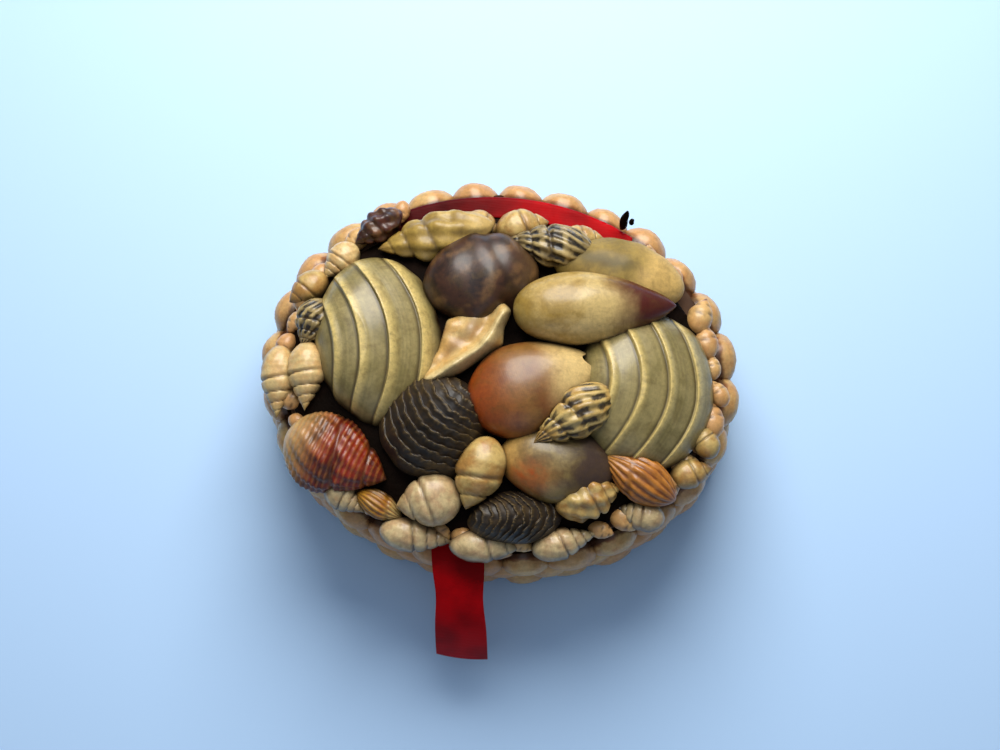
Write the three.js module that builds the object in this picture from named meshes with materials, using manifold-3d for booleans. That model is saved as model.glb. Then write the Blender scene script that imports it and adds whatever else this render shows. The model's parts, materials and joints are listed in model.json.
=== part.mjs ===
// An oval keepsake box of card, covered all over in seashells. Three rows of small valves run round
// its side, the hinged lid carries a mound of glue with larger shells set in it, a red cloth strip
// at the back is the hinge and a red ribbon at the front is the pull.
// Millimetres, +Z up, ribbon towards -Y, hinge towards +Y, origin at the middle of the underside.
import * as THREE from "three";
import { mergeVertices } from "three/addons/utils/BufferGeometryUtils.js";
import Module from "manifold-3d";

const wasm = await Module();
wasm.setup();

// The card box
const BOX_LENGTH = 99.2;
const BOX_WIDTH = 80.8;
const WALL_HEIGHT = 30;
const WALL = 2.6;
const FLOOR = 2.6;
const LINING = 0.8;

// The lid
const LID_GAP = 0.9;
const LID_BOARD = 2.4;
const LID_LINING_DROP = 1.0;
const LINING_CLEARANCE = 0.6;

// The rows of small shells round the side
const SIDE_ROWS = ["lower", "middle", "upper"];
const SIDE_SHELL_WIDTH = 10.2;
const SIDE_SHELL_DEPTH = 4.9;
const SIDE_ROW_GAP = 0.4;
const SIDE_OVERLAP = 1.1;
const SIDE_FOOT = 0.6;
const GLUE_LINE = 1.1;
const BEAK_RISE = 0.2;

// The mound of glue on the lid
const BED_MARGIN = 1.6;
const BED_BACK_MARGIN = 5.4;
const BED_RIM = 1.6;
const BED_CROWN = 5.6;

// The hinge cloth and the pull ribbon
const CLOTH = 0.4;
const HINGE_WIDTH = 54;
const HINGE_FLAP = 4.6;
const HINGE_DROP = 5;
const RIBBON = 0.4;
const RIBBON_WIDTH = 12;
const RIBBON_TUCK = 5.6;
const RIBBON_REACH = 24;
const RIBBON_DROOP = 19;
const RIBBON_LEFT = 10.7;
const RIBBON_SLANT = 0.12;
const RIBBON_STEPS = 8;

// The ribbon leaves the side shells at this share of their depth, and its two middle control
// points lie at these shares of its reach and droop
const RIBBON_REST = 0.6;
const RIBBON_BEND = [{ out: 0.55, down: 0.02 }, { out: 0.85, down: 0.5 }];

// The gap left between pieces that touch, and how finely round outlines are faceted
const TOUCH = 0.3;
const SHELL_GAP = 0.4;
const OVAL_SIDES = 32;
const BED_SIDES = 20;
const BED_STEPS = 3;
const SIDE_SHELL_SIDES = 6;
const SIDE_SHELL_ROWS = 3;

// Room that a cutting body has past the piece that it cuts
const ROOM = 9;

// What follows from the sizes above
const halfLength = BOX_LENGTH / 2;
const halfWidth = BOX_WIDTH / 2;
const boardBottom = WALL_HEIGHT + LID_GAP;
const boardTop = boardBottom + LID_BOARD;
const bedBottom = boardTop + TOUCH;
const bedHalfLength = halfLength - BED_MARGIN;
const bedHalfWidth = halfWidth - (BED_MARGIN + BED_BACK_MARGIN) / 2;
const bedMiddle = (BED_MARGIN - BED_BACK_MARGIN) / 2;

// Colours as the varnished pieces show them
const COLOURS = {
  card: 0x8a6a48,
  satin: 0xb0101c,
  glue: 0x2a1a12,
  peach: 0xe2c3a0,
  cream: 0xd9cda6,
  olive: 0xa8a478,
  orange: 0xc98a52,
  purple: 0x6a5450,
  dark: 0x41382f,
  red: 0x8f4632,
  ochre: 0xc79a55,
  white: 0xd8d2c6,
};

// A shell form says where a shell is widest along its length, how blunt it is at each end, how
// many turns its spire shows, how deep their joints are and how many ribs run along it.
const SMOOTH = { turns: 0, joint: 0, ribs: 0, rib: 0 };
const CONCH = { ...SMOOTH, widest: 0.34, blunt: 0.5, tip: 0.95, turns: 1.5, joint: 0.05, fine: [9, 7] };
const BUBBLE = { ...SMOOTH, widest: 0.45, blunt: 0.5, tip: 0.6, fine: [9, 6] };
const SHARD = { ...SMOOTH, widest: 0.4, blunt: 0.45, tip: 0.7, fine: [7, 5] };
const WHELK = { ...SMOOTH, widest: 0.4, blunt: 0.75, tip: 1.0, turns: 3, joint: 0.12, fine: [6, 8] };
const RIBBED = { ...WHELK, joint: 0.1, ribs: 4, rib: 0.06, fine: [8, 8] };
const DOVE = { ...SMOOTH, widest: 0.42, blunt: 0.6, tip: 0.8, turns: 2, joint: 0.08, fine: [6, 6] };

// A valve has steps along its growth lines, each raised by a share of its height. Step is how far
// a ridge stands back over the one before, lean the angle that its growth turns through from beak
// to edge, and crest the height that a valve of length 1 would reach by that.
const VALVE = { step: 0.7, lean: 1.5, crest: 0.345 };
const CLAM = { ridge: 0.07, fine: [11, 11] };
const SCALLOP = { ridge: 0.09, fine: [7, 9] };

/**
 * One shell on the lid. Size is length, width and height; at is the place as a share of half the
 * box's length and width; lift is the height of the shell's middle over the glue; heading is
 * where its thin end points, in degrees, and pitch tips that end up.
 */
function shell(name, form, colour, size, at, lift, heading, pitch) {
  return { name, form, colour, size, at, lift, heading, pitch };
}

// The shells on the lid, from the topmost to the lowest
const LID_SHELLS = [
  shell("conch_cream", CONCH, "cream", [37, 16.5, 15], [0.4, 0.37], 3.8, 9, -5),
  shell("nassa_speckled", RIBBED, "cream", [21.5, 10.5, 10], [0.35, -0.26], 5.4, -139, 3),
  shell("lip_cream", SHARD, "cream", [27, 10.5, 7], [-0.17, 0.06], 4.6, -140, -6),
  shell("conch_orange", CONCH, "orange", [31, 21.5, 16], [0.16, -0.11], 1.6, 25, -2),
  shell("nassa_banded", RIBBED, "cream", [20.5, 9.5, 9], [0.16, 0.71], 3.2, 180, 0),
  shell("clam_left", CLAM, "olive", [29, 39, 10], [-0.56, 0.07], -1.2, 14, 5),
  shell("clam_right", CLAM, "olive", [32, 37, 10], [0.66, -0.05], -1.6, 0, -5),
  shell("conch_purple", BUBBLE, "purple", [24, 19, 14], [-0.14, 0.49], 1.2, 17, 0),
  shell("conch_olive", CONCH, "olive", [30, 15, 12], [0.49, 0.59], 1.4, -7, -4),
  shell("dove_cream", DOVE, "cream", [16.5, 10, 9], [-0.04, -0.62], 3.4, -104, -8),
  shell("whelk_ribbed", RIBBED, "ochre", [19, 10, 9], [0.68, -0.54], 2.2, 155, 8),
  shell("whelk_red", RIBBED, "red", [24, 16, 13], [-0.69, -0.6], 1.4, -19, 4),
  shell("bivalve_dark", SCALLOP, "dark", [23, 21, 9], [-0.27, -0.38], -0.6, 52, 4),
  shell("whelk_ochre", WHELK, "ochre", [15.5, 9.5, 8.5], [0.46, -0.68], 1.8, 25, 0),
  shell("conch_beige", CONCH, "orange", [25, 16, 12], [0.31, -0.51], 0.8, -2, -4),
  shell("bivalve_dark_b", SCALLOP, "dark", [21.5, 12, 7], [0.14, -0.83], -0.4, 8, 0),
  shell("moon_white", DOVE, "white", [13.5, 11, 9], [-0.25, -0.79], 2.0, -162, 0),
  shell("murex_olive", RIBBED, "ochre", [27, 10.5, 9], [-0.36, 0.7], 2.0, -162, -4),
  shell("cerith_brown", WHELK, "dark", [13, 7, 7], [-0.63, 0.73], 2.4, -138, 0),
  shell("nassa_cream", WHELK, "cream", [10.5, 6.5, 6.5], [-0.79, 0.51], 1.6, -128, 0),
  shell("dove_beige", DOVE, "cream", [10.5, 7, 6.5], [-0.92, 0.34], 1.4, -136, 0),
  shell("nassa_grey", RIBBED, "dark", [12, 8.2, 7.5], [-0.87, 0.13], 2.4, -108, 0),
  shell("nassa_cone_a", WHELK, "cream", [15.5, 8, 7.5], [-0.87, -0.17], 1.4, -86, 0),
  shell("nassa_cone_b", WHELK, "cream", [17, 7.6, 7], [-1.0, -0.21], 1.2, -86, 0),
  shell("whelk_yellow", RIBBED, "ochre", [12, 6, 6], [-0.47, -0.84], 1.6, -24, 0),
  shell("whelk_white_a", WHELK, "white", [11, 6.5, 6], [-0.63, -0.82], 1.2, -30, 0),
  shell("whelk_mint", WHELK, "white", [17, 7.6, 7], [-0.29, -0.985], 1.2, -4, 0),
  shell("whelk_white_b", DOVE, "white", [16, 7.4, 7], [0.02, -1.0], 1.0, 5, 0),
  shell("whelk_white_c", WHELK, "white", [15.5, 7, 6.5], [0.38, -0.93], 1.2, 23, 0),
  shell("whelk_grey", WHELK, "white", [11.5, 7, 6.5], [0.7, -0.73], 1.2, 170, 0),
  shell("dove_right", DOVE, "cream", [10, 6.6, 6], [0.915, -0.47], 1.2, 20, 0),
  shell("dove_right_b", DOVE, "cream", [8.5, 6, 6], [0.965, -0.28], 1.0, 120, 0),
  shell("dove_top", DOVE, "cream", [12.5, 8.4, 7], [0.03, 0.82], 0.8, 18, 0),
  shell("dove_top_b", DOVE, "cream", [10.5, 7, 6.5], [0.31, 0.78], 1.0, 9, 0),
  shell("dove_pink", DOVE, "cream", [8.5, 6, 6], [-0.15, 0.81], 0.6, -26, 0),
  shell("dove_corner", DOVE, "cream", [12, 6, 6], [0.6, 0.72], 0.4, -20, 0),
];

/** Turns a closed three.js geometry into a solid that can be joined and cut. */
function solidOf(geometry) {
  const bare = geometry.clone();
  bare.deleteAttribute("normal");
  bare.deleteAttribute("uv");
  const merged = mergeVertices(bare, 1e-4);
  return new wasm.Manifold(new wasm.Mesh({
    numProp: 3,
    vertProperties: new Float32Array(merged.attributes.position.array),
    triVerts: new Uint32Array(merged.index.array),
  }));
}

/** Keeps only the largest body of a solid that a cut has parted. */
function largestBody(solid) {
  return solid.decompose().sort((one, other) => other.volume() - one.volume())[0];
}

/** Makes the named mesh of a solid, with its own plain material. */
function pieceOf(name, solid, colour, roughness) {
  const cut = solid.getMesh();
  const geometry = new THREE.BufferGeometry();
  geometry.setAttribute("position", new THREE.BufferAttribute(cut.vertProperties, 3));
  geometry.setIndex(new THREE.BufferAttribute(cut.triVerts, 1));
  geometry.computeVertexNormals();
  const material = new THREE.MeshStandardMaterial({ color: COLOURS[colour], roughness, metalness: 0 });
  const mesh = new THREE.Mesh(geometry, material);
  mesh.name = name;
  return mesh;
}

/** An upright oval plug between two heights, with its half length and half width. */
function ovalPlug(alongX, alongY, bottom, top) {
  const plug = new THREE.CylinderGeometry(1, 1, top - bottom, OVAL_SIDES);
  plug.rotateX(Math.PI / 2);
  plug.scale(alongX, alongY, 1);
  plug.translate(0, 0, (bottom + top) / 2);
  return solidOf(plug);
}

/** An oval cup: a plug with an oval hollow, open at the top. */
function ovalCup(inset, wall, bottom, floor, top) {
  const outside = ovalPlug(halfLength - inset, halfWidth - inset, bottom, top);
  const inner = inset + wall;
  const hollow = ovalPlug(halfLength - inner, halfWidth - inner, bottom + floor, top + wall);
  return outside.subtract(hollow);
}

/** Bends a sphere's grid into a form: place gives the point for a turn u and a step v, 0 to 1. */
function formed([columns, rows], place) {
  const sphere = new THREE.SphereGeometry(1, columns, rows);
  const { position, uv } = sphere.attributes;
  for (let i = 0; i < position.count; i += 1) {
    const point = place(uv.getX(i) % 1, 1 - uv.getY(i));
    position.setXYZ(i, point.x, point.y, point.z);
  }
  return sphere;
}

/** A coiled shell along X, blunt end at -X and thin end at +X, grown all over by grow. */
function coiledShell(form, [length, width, height], grow) {
  const reach = length / 2 + grow;
  return formed(form.fine, (u, v) => {
    const along = (1 - Math.cos(Math.PI * v)) / 2;
    const side = along < form.widest ? form.widest : 1 - form.widest;
    const end = along < form.widest ? form.blunt : form.tip;
    const swell = Math.cos((Math.PI / 2) * Math.min(1, Math.abs(along - form.widest) / side)) ** end;
    const spire = Math.max(0, (along - form.widest) / (1 - form.widest));
    const turn = form.turns * Math.sqrt(spire) + u;
    const joint = form.joint * Math.abs(Math.cos(Math.PI * turn)) ** 4 * Math.min(1, spire * 4);
    const rib = form.rib * (1 - spire) * Math.cos(2 * Math.PI * form.ribs * u);
    const share = swell * (1 - joint + rib);
    const angle = -2 * Math.PI * u;
    const ends = v === 0 || v === 1 ? 0 : grow;
    return new THREE.Vector3(
      (2 * along - 1) * reach,
      (share * width / 2 + ends) * Math.cos(angle),
      (share * height / 2 + ends) * Math.sin(angle),
    );
  });
}

/** One valve of a clam, beak at -X and free edge at +X, with steps along its growth lines. */
function valve(form, [length, width, height], grow) {
  const [, rows] = form.fine;
  const domeRows = rows - 1;
  return formed(form.fine, (u, v) => {
    const row = Math.round(v * rows);
    const angle = 2 * Math.PI * u;
    const outline = [(1 + Math.cos(angle)) / 2, Math.sin(angle) / 2];
    if (row > domeRows) {
      return new THREE.Vector3(0, 0, -grow);
    }
    const step = row % 2;
    const growth = (row - step * VALVE.step) / domeRows;
    const lean = (1 - growth) * VALVE.lean;
    const raise = step * form.ridge * height * Math.sqrt(growth * outline[0]);
    const along = growth * outline[0];
    const outwards = growth * (1 + Math.cos(angle)) - 1;
    return new THREE.Vector3(
      (along * Math.cos(lean) - 0.5) * length + grow * outwards,
      growth * outline[1] * width + grow * Math.sqrt(growth) * Math.sin(angle),
      row === domeRows ? -grow : (along * Math.sin(lean) / VALVE.crest) * height + raise + grow,
    );
  });
}

/** Height of the glue mound over a place on the lid. */
function bedHeight(x, y) {
  const share = Math.hypot(x / bedHalfLength, (y - bedMiddle) / bedHalfWidth);
  return bedBottom + BED_RIM + BED_CROWN * Math.sqrt(Math.max(0, 1 - share * share));
}

/** One lid shell in its place on the mound, grown all over by grow. */
function placedShell(shell, grow) {
  const maker = shell.form.ridge ? valve : coiledShell;
  const geometry = maker(shell.form, shell.size, grow);
  const [x, y] = [shell.at[0] * halfLength, shell.at[1] * halfWidth];
  geometry.rotateY(-THREE.MathUtils.degToRad(shell.pitch));
  geometry.rotateZ(THREE.MathUtils.degToRad(shell.heading));
  geometry.translate(x, y, bedHeight(x, y) + shell.lift);
  return solidOf(geometry);
}

/** The mound of glue: a low rim with a flat dome, grown all over by grow. */
function glueBed(grow) {
  const rim = bedBottom + BED_RIM + grow;
  const profile = [new THREE.Vector2(0, bedBottom - grow), new THREE.Vector2(1, bedBottom - grow)];
  for (let i = 0; i <= BED_STEPS; i += 1) {
    const angle = (Math.PI / 2) * (i / BED_STEPS);
    profile.push(new THREE.Vector2(i === BED_STEPS ? 0 : Math.cos(angle), rim + BED_CROWN * Math.sin(angle)));
  }
  const mound = new THREE.LatheGeometry(profile, BED_SIDES);
  mound.rotateX(Math.PI / 2);
  mound.scale(bedHalfLength + grow, bedHalfWidth + grow, 1);
  mound.translate(0, bedMiddle, 0);
  return solidOf(mound);
}

/** One row of small valves round the side, glued edge to edge and so one body. */
function sideRow(row, rowHeight) {
  const inset = GLUE_LINE;
  const path = new THREE.EllipseCurve(0, 0, halfLength + inset, halfWidth + inset);
  const count = Math.round(path.getLength() / SIDE_SHELL_WIDTH);
  const halfShell = (path.getLength() / count) * SIDE_OVERLAP / 2;
  const middle = SIDE_FOOT + rowHeight * (row + 0.5) + SIDE_ROW_GAP * row;
  let ring = null;
  for (let i = 0; i < count; i += 1) {
    const share = (i + 0.5 * (row % 2)) / count;
    const foot = path.getPointAt(share % 1);
    const along = path.getTangentAt(share % 1);
    const shell = sideShell(halfShell, rowHeight / 2, SIDE_SHELL_DEPTH);
    shell.rotateZ(Math.atan2(-along.x, along.y));
    shell.translate(foot.x, foot.y, middle);
    const solid = solidOf(shell);
    ring = ring ? ring.add(solid) : solid;
  }
  return ring;
}

/** A small domed valve with its flat back on the plane x = 0 and its beak upwards. */
function sideShell(halfAcross, halfUp, depth) {
  const rows = SIDE_SHELL_ROWS;
  const flats = Math.cos(Math.PI / SIDE_SHELL_SIDES);
  return formed([SIDE_SHELL_SIDES, rows], (u, v) => {
    const onBack = v === 1;
    const angle = 2 * Math.PI * u;
    const lean = onBack ? Math.PI / 2 : (v * rows / (rows - 1)) * (Math.PI / 2);
    const share = onBack ? 0 : Math.sin(lean);
    return new THREE.Vector3(
      depth * Math.cos(lean),
      halfAcross * share * Math.cos(angle),
      halfUp * (share * Math.sin(angle) / flats + BEAK_RISE * Math.cos(lean) ** 2),
    );
  });
}

/** A thin strip: the side view's middle line, thickened and extruded along X from its middle. */
function strip(line, thickness, width) {
  const outline = new THREE.Shape();
  const sides = [1, -1].map((side) => line.map((point, i) => {
    const before = line[Math.max(0, i - 1)];
    const after = line[Math.min(line.length - 1, i + 1)];
    const along = after.clone().sub(before).normalize();
    return new THREE.Vector2(
      point.x - along.y * side * thickness / 2,
      point.y + along.x * side * thickness / 2,
    );
  }));
  outline.setFromPoints([...sides[0], ...sides[1].reverse()]);
  const body = new THREE.ExtrudeGeometry(outline, { depth: width, bevelEnabled: false, steps: 1 });
  body.rotateX(Math.PI / 2);
  body.rotateZ(Math.PI / 2);
  body.translate(-width / 2, 0, 0);
  return body;
}

/** The pull ribbon: tucked under the lid's front edge, over the side shells and down. */
function pullRibbon() {
  const front = -halfWidth;
  const start = WALL_HEIGHT + LID_GAP / 2;
  const [first, second] = RIBBON_BEND.map(({ out, down }) => new THREE.Vector2(
    front - RIBBON_REACH * out,
    start - RIBBON_DROOP * down,
  ));
  const droop = new THREE.CubicBezierCurve(
    new THREE.Vector2(front - GLUE_LINE - SIDE_SHELL_DEPTH * RIBBON_REST, start),
    first,
    second,
    new THREE.Vector2(front - RIBBON_REACH, start - RIBBON_DROOP),
  );
  const line = [new THREE.Vector2(front + RIBBON_TUCK - WALL / 2, start), ...droop.getPoints(RIBBON_STEPS)];
  const ribbon = strip(line, RIBBON, RIBBON_WIDTH);
  const { position } = ribbon.attributes;
  for (let i = 0; i < position.count; i += 1) {
    const out = front - position.getY(i);
    position.setX(i, position.getX(i) + RIBBON_WIDTH / 2 - RIBBON_LEFT + RIBBON_SLANT * out);
  }
  return solidOf(ribbon);
}

/** A band that follows the oval round the back, between two offsets and two heights. */
function backBand(inner, outer, bottom, top) {
  const outside = ovalPlug(halfLength + outer, halfWidth + outer, bottom, top);
  const inside = ovalPlug(halfLength + inner, halfWidth + inner, bottom - 1, top + 1);
  const span = new THREE.BoxGeometry(HINGE_WIDTH, BOX_WIDTH, 2 * (boardTop + ROOM));
  span.translate(0, BOX_WIDTH / 2, 0);
  return outside.subtract(inside).intersect(solidOf(span));
}

/** The hinge cloth: a flap on the lid board, over its back edge and down behind the wall. */
function hingeCloth() {
  const outer = TOUCH + CLOTH;
  const flap = backBand(-HINGE_FLAP, outer, boardTop + TOUCH, boardTop + outer);
  const drop = backBand(TOUCH, outer, WALL_HEIGHT - HINGE_DROP, boardTop + outer);
  return flap.add(drop);
}

const box = new THREE.Group();
box.add(pieceOf("box_body", ovalCup(0, WALL, 0, FLOOR, WALL_HEIGHT), "card", 0.9));
const liningInset = WALL + TOUCH;
box.add(pieceOf(
  "box_lining",
  ovalCup(liningInset, LINING, FLOOR + TOUCH, LINING, WALL_HEIGHT - TOUCH),
  "satin",
  0.5,
));
const rowHeight = (WALL_HEIGHT - 2 * SIDE_FOOT - (SIDE_ROWS.length - 1) * SIDE_ROW_GAP) / SIDE_ROWS.length;
SIDE_ROWS.forEach((name, row) => {
  box.add(pieceOf(`side_shells_${name}`, sideRow(row, rowHeight), "peach", 0.4));
});
box.add(pieceOf("hinge_cloth", hingeCloth(), "satin", 0.5));

const lid = new THREE.Group();
lid.add(pieceOf("lid_board", ovalPlug(halfLength, halfWidth, boardBottom, boardTop), "card", 0.9));
const lidInset = liningInset + LINING + LINING_CLEARANCE;
const lidLining = ovalPlug(
  halfLength - lidInset,
  halfWidth - lidInset,
  boardBottom - TOUCH - LID_LINING_DROP,
  boardBottom - TOUCH,
);
lid.add(pieceOf("lid_lining", lidLining, "satin", 0.5));
lid.add(pieceOf("pull_ribbon", pullRibbon(), "satin", 0.5));
lid.add(pieceOf("lid_bed", glueBed(0), "glue", 0.3));

const seat = glueBed(TOUCH);
const clothRoom = backBand(-HINGE_FLAP - TOUCH, ROOM, 0, boardTop + 2 * TOUCH + CLOTH);
const boardRoom = ovalPlug(halfLength + TOUCH, halfWidth + TOUCH, 0, boardTop + TOUCH);
const above = [];
for (const shell of LID_SHELLS) {
  let solid = placedShell(shell, 0).subtract(seat).subtract(boardRoom).subtract(clothRoom);
  for (const upper of above) {
    solid = solid.subtract(upper);
  }
  above.push(placedShell(shell, SHELL_GAP));
  lid.add(pieceOf(shell.name, largestBody(solid), shell.colour, 0.3));
}

const shellBox = new THREE.Group();
shellBox.add(box);
shellBox.add(lid);

export default shellBox;
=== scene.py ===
"""An oval keepsake box of card, covered all over in varnished seashells.

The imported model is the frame: the card, the rows of side shells, the lid with its mound of glue,
the shells set in it, the hinge cloth and the pull ribbon. Every piece here stands in its place,
with the growth lines, turns, ribs, spots, satin and glue that the solids leave out.
"""
import json
import logging
import math
from dataclasses import dataclass, field
from enum import Enum
from typing import Protocol

import bpy
import numpy as np
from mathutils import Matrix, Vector


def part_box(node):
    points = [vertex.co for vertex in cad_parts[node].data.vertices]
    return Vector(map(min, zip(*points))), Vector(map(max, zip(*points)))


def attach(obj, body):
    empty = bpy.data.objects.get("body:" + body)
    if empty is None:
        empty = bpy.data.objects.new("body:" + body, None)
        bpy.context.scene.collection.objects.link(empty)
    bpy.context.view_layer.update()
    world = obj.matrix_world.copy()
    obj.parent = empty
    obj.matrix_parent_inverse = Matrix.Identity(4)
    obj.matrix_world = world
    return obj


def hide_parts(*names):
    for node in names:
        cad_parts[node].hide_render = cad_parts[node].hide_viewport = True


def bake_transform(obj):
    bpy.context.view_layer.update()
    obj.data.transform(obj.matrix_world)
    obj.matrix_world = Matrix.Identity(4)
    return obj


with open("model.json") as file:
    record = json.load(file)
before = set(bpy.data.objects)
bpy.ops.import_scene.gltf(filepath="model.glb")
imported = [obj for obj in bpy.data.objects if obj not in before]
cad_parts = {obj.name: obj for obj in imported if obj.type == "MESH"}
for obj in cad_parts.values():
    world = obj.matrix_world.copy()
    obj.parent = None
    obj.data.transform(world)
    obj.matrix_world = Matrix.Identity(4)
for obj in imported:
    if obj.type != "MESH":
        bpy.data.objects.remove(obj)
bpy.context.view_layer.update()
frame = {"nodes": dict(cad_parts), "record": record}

LOG = logging.getLogger("shell_box")
MM = 0.001

# Sizes in millimetres that the frame's boxes don't give
WALL = 2.6
LINING = 0.8
BED_RIM = 1.6
GLUE_LINE = 0.8
SUNK = 0.2
SIDE_SHELL_WIDTH = 10.2
HINGE_FLAP = 4.6
CLOTH_GAP = 0.3
RIBBON_WIDTH = 12.0

# Shares of a side shell's own width or height
SIDE_OVERLAP = 1.06
ROW_OVERLAP = 0.1
BEAK_RISE = 0.2

# Colours that all the lid's shells take
# Dark glue colour: real glue at each shell's foot, and painted shade in the hollows between the shells
DARK_GLUE_AND_SHADE = "#2a1a10"
VARNISH = "#d8c498"
AGED_VARNISH = "#6e5a2c"

Socket = bpy.types.NodeSocket


def linear(code: str) -> tuple[float, float, float, float]:
    """Turn an sRGB hex colour into the linear one that a shader takes.

    Args:
        code: Six hex digits after a hash mark.

    Returns:
        Red, green, blue and an alpha of one.
    """
    parts = [int(code[i:i + 2], 16) / 255 for i in (1, 3, 5)]
    parts = [c / 12.92 if c <= 0.04045 else ((c + 0.055) / 1.055) ** 2.4 for c in parts]
    return (parts[0], parts[1], parts[2], 1.0)


def add_node(tree: bpy.types.NodeTree, kind: str, values: dict | None = None) -> bpy.types.Node:
    """Add a shader node with its settings and links.

    Args:
        tree: The material's node tree.
        kind: The node's type, without its leading "ShaderNode".
        values: What to set: a property by its name, or an input by name or index. An output
            socket is linked to that input.

    Returns:
        The new node.
    """
    node = tree.nodes.new("ShaderNode" + kind)
    for key, value in (values or {}).items():
        if isinstance(value, Socket):
            tree.links.new(value, node.inputs[key])
        elif isinstance(key, str) and hasattr(node, key):
            setattr(node, key, value)
        else:
            node.inputs[key].default_value = value
    return node


def smooth(value: np.ndarray, low: float, high: float) -> np.ndarray:
    """Rise smoothly from 0 at low to 1 at high."""
    share = np.clip((value - low) / (high - low), 0, 1)
    return share * share * (3 - 2 * share)


def ripple(points: np.ndarray, wave: float, seed: int) -> np.ndarray:
    """Give a soft random swell, from -1 to 1, over points in space.

    Args:
        points: Places in millimetres, three numbers each.
        wave: The swell's wavelength in millimetres.
        seed: Seed of the random directions.

    Returns:
        One number for each point.
    """
    random = np.random.default_rng(seed)
    total = np.zeros(points.shape[:-1])
    count, slowest, fastest, peak = 7, 0.7, 1.5, 1.6
    for _ in range(count):
        way = random.normal(size=3)
        way *= random.uniform(slowest, fastest) / np.linalg.norm(way)
        total += np.sin(points @ way * (2 * math.pi / wave) + random.uniform(0, 2 * math.pi))
    return total / math.sqrt(count) / peak


def around(count: int) -> np.ndarray:
    """Spread angles over a full turn, in one row."""
    return 2 * math.pi * (np.arange(count) / count)[None, :]


def turned(x: np.ndarray, y: np.ndarray, angle: float) -> tuple[np.ndarray, np.ndarray]:
    """Turn two coordinates by an angle in radians."""
    return x * math.cos(angle) - y * math.sin(angle), x * math.sin(angle) + y * math.cos(angle)


def distances(line: np.ndarray) -> np.ndarray:
    """Measure how far each point lies from the first, along the line that they form."""
    return np.concatenate([[0], np.cumsum(np.linalg.norm(np.diff(line, axis=0), axis=1))])


def with_back(grid: np.ndarray, axis: int, level: float) -> np.ndarray:
    """Close a grid with its last row, moved flat to a level, and that row's middle.

    Args:
        grid: Rows and columns of points.
        axis: The axis along which the row moves.
        level: Where on that axis it ends.

    Returns:
        The grid with two more rows.
    """
    back = grid[-1:].copy()
    back[..., axis] = level
    return np.concatenate([grid, back, back.mean(axis=1, keepdims=True) + 0 * back])


def quads(index: np.ndarray) -> list[list[int]]:
    """Give the faces between the corners of a grid, as numbered in it."""
    cells = np.stack([index[:-1, :-1], index[:-1, 1:], index[1:, 1:], index[1:, :-1]], -1)
    return cells.reshape(-1, 4).tolist()


@dataclass
class Surface:
    """A closed surface as a grid: rows from pole to pole, columns round, with marks at its points."""

    points: np.ndarray
    marks: dict[str, np.ndarray] = field(default_factory=dict)

    def corners(self) -> tuple[np.ndarray, list[list[int]], dict[str, np.ndarray]]:
        """Turn the grid into a mesh, with each pole as one vertex.

        Returns:
            The vertices, the corners of each face, and the marks at the vertices.
        """
        rows, columns = self.points.shape[:2]
        vertices = np.vstack([self.points[0, :1], self.points[1:-1].reshape(-1, 3), self.points[-1, :1]])
        last = len(vertices) - 1
        index = np.pad(np.arange(1, last).reshape(rows - 2, columns), ((0, 0), (0, 1)), mode="wrap")
        first_ring, last_ring = index[0].tolist(), index[-1].tolist()
        faces = [[0, b, a] for a, b in zip(first_ring, first_ring[1:])]
        faces += quads(index)
        faces += [[last, a, b] for a, b in zip(last_ring, last_ring[1:])]
        marks = {
            name: np.concatenate([mark[0, :1], mark[1:-1].reshape(-1), mark[-1, :1]])
            for name, mark in self.marks.items()
        }
        return vertices, faces, marks


def mesh_object(name: str, vertices: np.ndarray, faces: list[list[int]], material: bpy.types.Material,
                marks: dict[str, np.ndarray] | None = None) -> bpy.types.Object:
    """Make an object with smooth shading.

    Args:
        name: The object's name.
        vertices: Its corners in millimetres.
        faces: The corners of each face.
        material: Its only material.
        marks: Numbers at the corners, by name.

    Returns:
        The object, in metres, linked to the scene.
    """
    mesh = bpy.data.meshes.new(name)
    mesh.from_pydata((vertices * MM).tolist(), [], faces)
    for mark, values in (marks or {}).items():
        mesh.attributes.new(mark, "FLOAT", "POINT").data.foreach_set("value", values.astype(np.float32))
    mesh.polygons.foreach_set("use_smooth", [True] * len(mesh.polygons))
    mesh.materials.append(material)
    mesh.update()
    piece = bpy.data.objects.new(name, mesh)
    bpy.context.scene.collection.objects.link(piece)
    return piece


def solid_object(name: str, surfaces: list[Surface], material: bpy.types.Material) -> bpy.types.Object:
    """Make one object from closed surfaces.

    Args:
        name: The object's name.
        surfaces: The surfaces, which all carry the same marks.
        material: Its only material.

    Returns:
        The object, linked to the scene.
    """
    vertices, faces, marks, count = [], [], {}, 0
    for surface in surfaces:
        corners, cells, values = surface.corners()
        vertices.append(corners)
        faces += [[corner + count for corner in cell] for cell in cells]
        for mark, value in values.items():
            marks.setdefault(mark, []).append(value)
        count += len(corners)
    joined = {mark: np.concatenate(values) for mark, values in marks.items()}
    return mesh_object(name, np.vstack(vertices), faces, material, joined)


def sheet_object(name: str, points: np.ndarray, material: bpy.types.Material,
                 thickness: float) -> bpy.types.Object:
    """Make a thin sheet from an open grid of points.

    Args:
        name: The object's name.
        points: Rows and columns of points in millimetres.
        material: Its only material.
        thickness: The cloth's thickness in millimetres.

    Returns:
        The object, with its thickness applied.
    """
    rows, columns = points.shape[:2]
    faces = quads(np.arange(rows * columns).reshape(rows, columns))
    piece = mesh_object(name, points.reshape(-1, 3), faces, material)
    thick = piece.modifiers.new("thickness", "SOLIDIFY")
    thick.thickness = thickness * MM
    thick.offset = 0
    bpy.context.view_layer.objects.active = piece
    with bpy.context.temp_override(object=piece, active_object=piece, selected_objects=[piece]):
        bpy.ops.object.modifier_apply(modifier=thick.name)
    return piece


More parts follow.
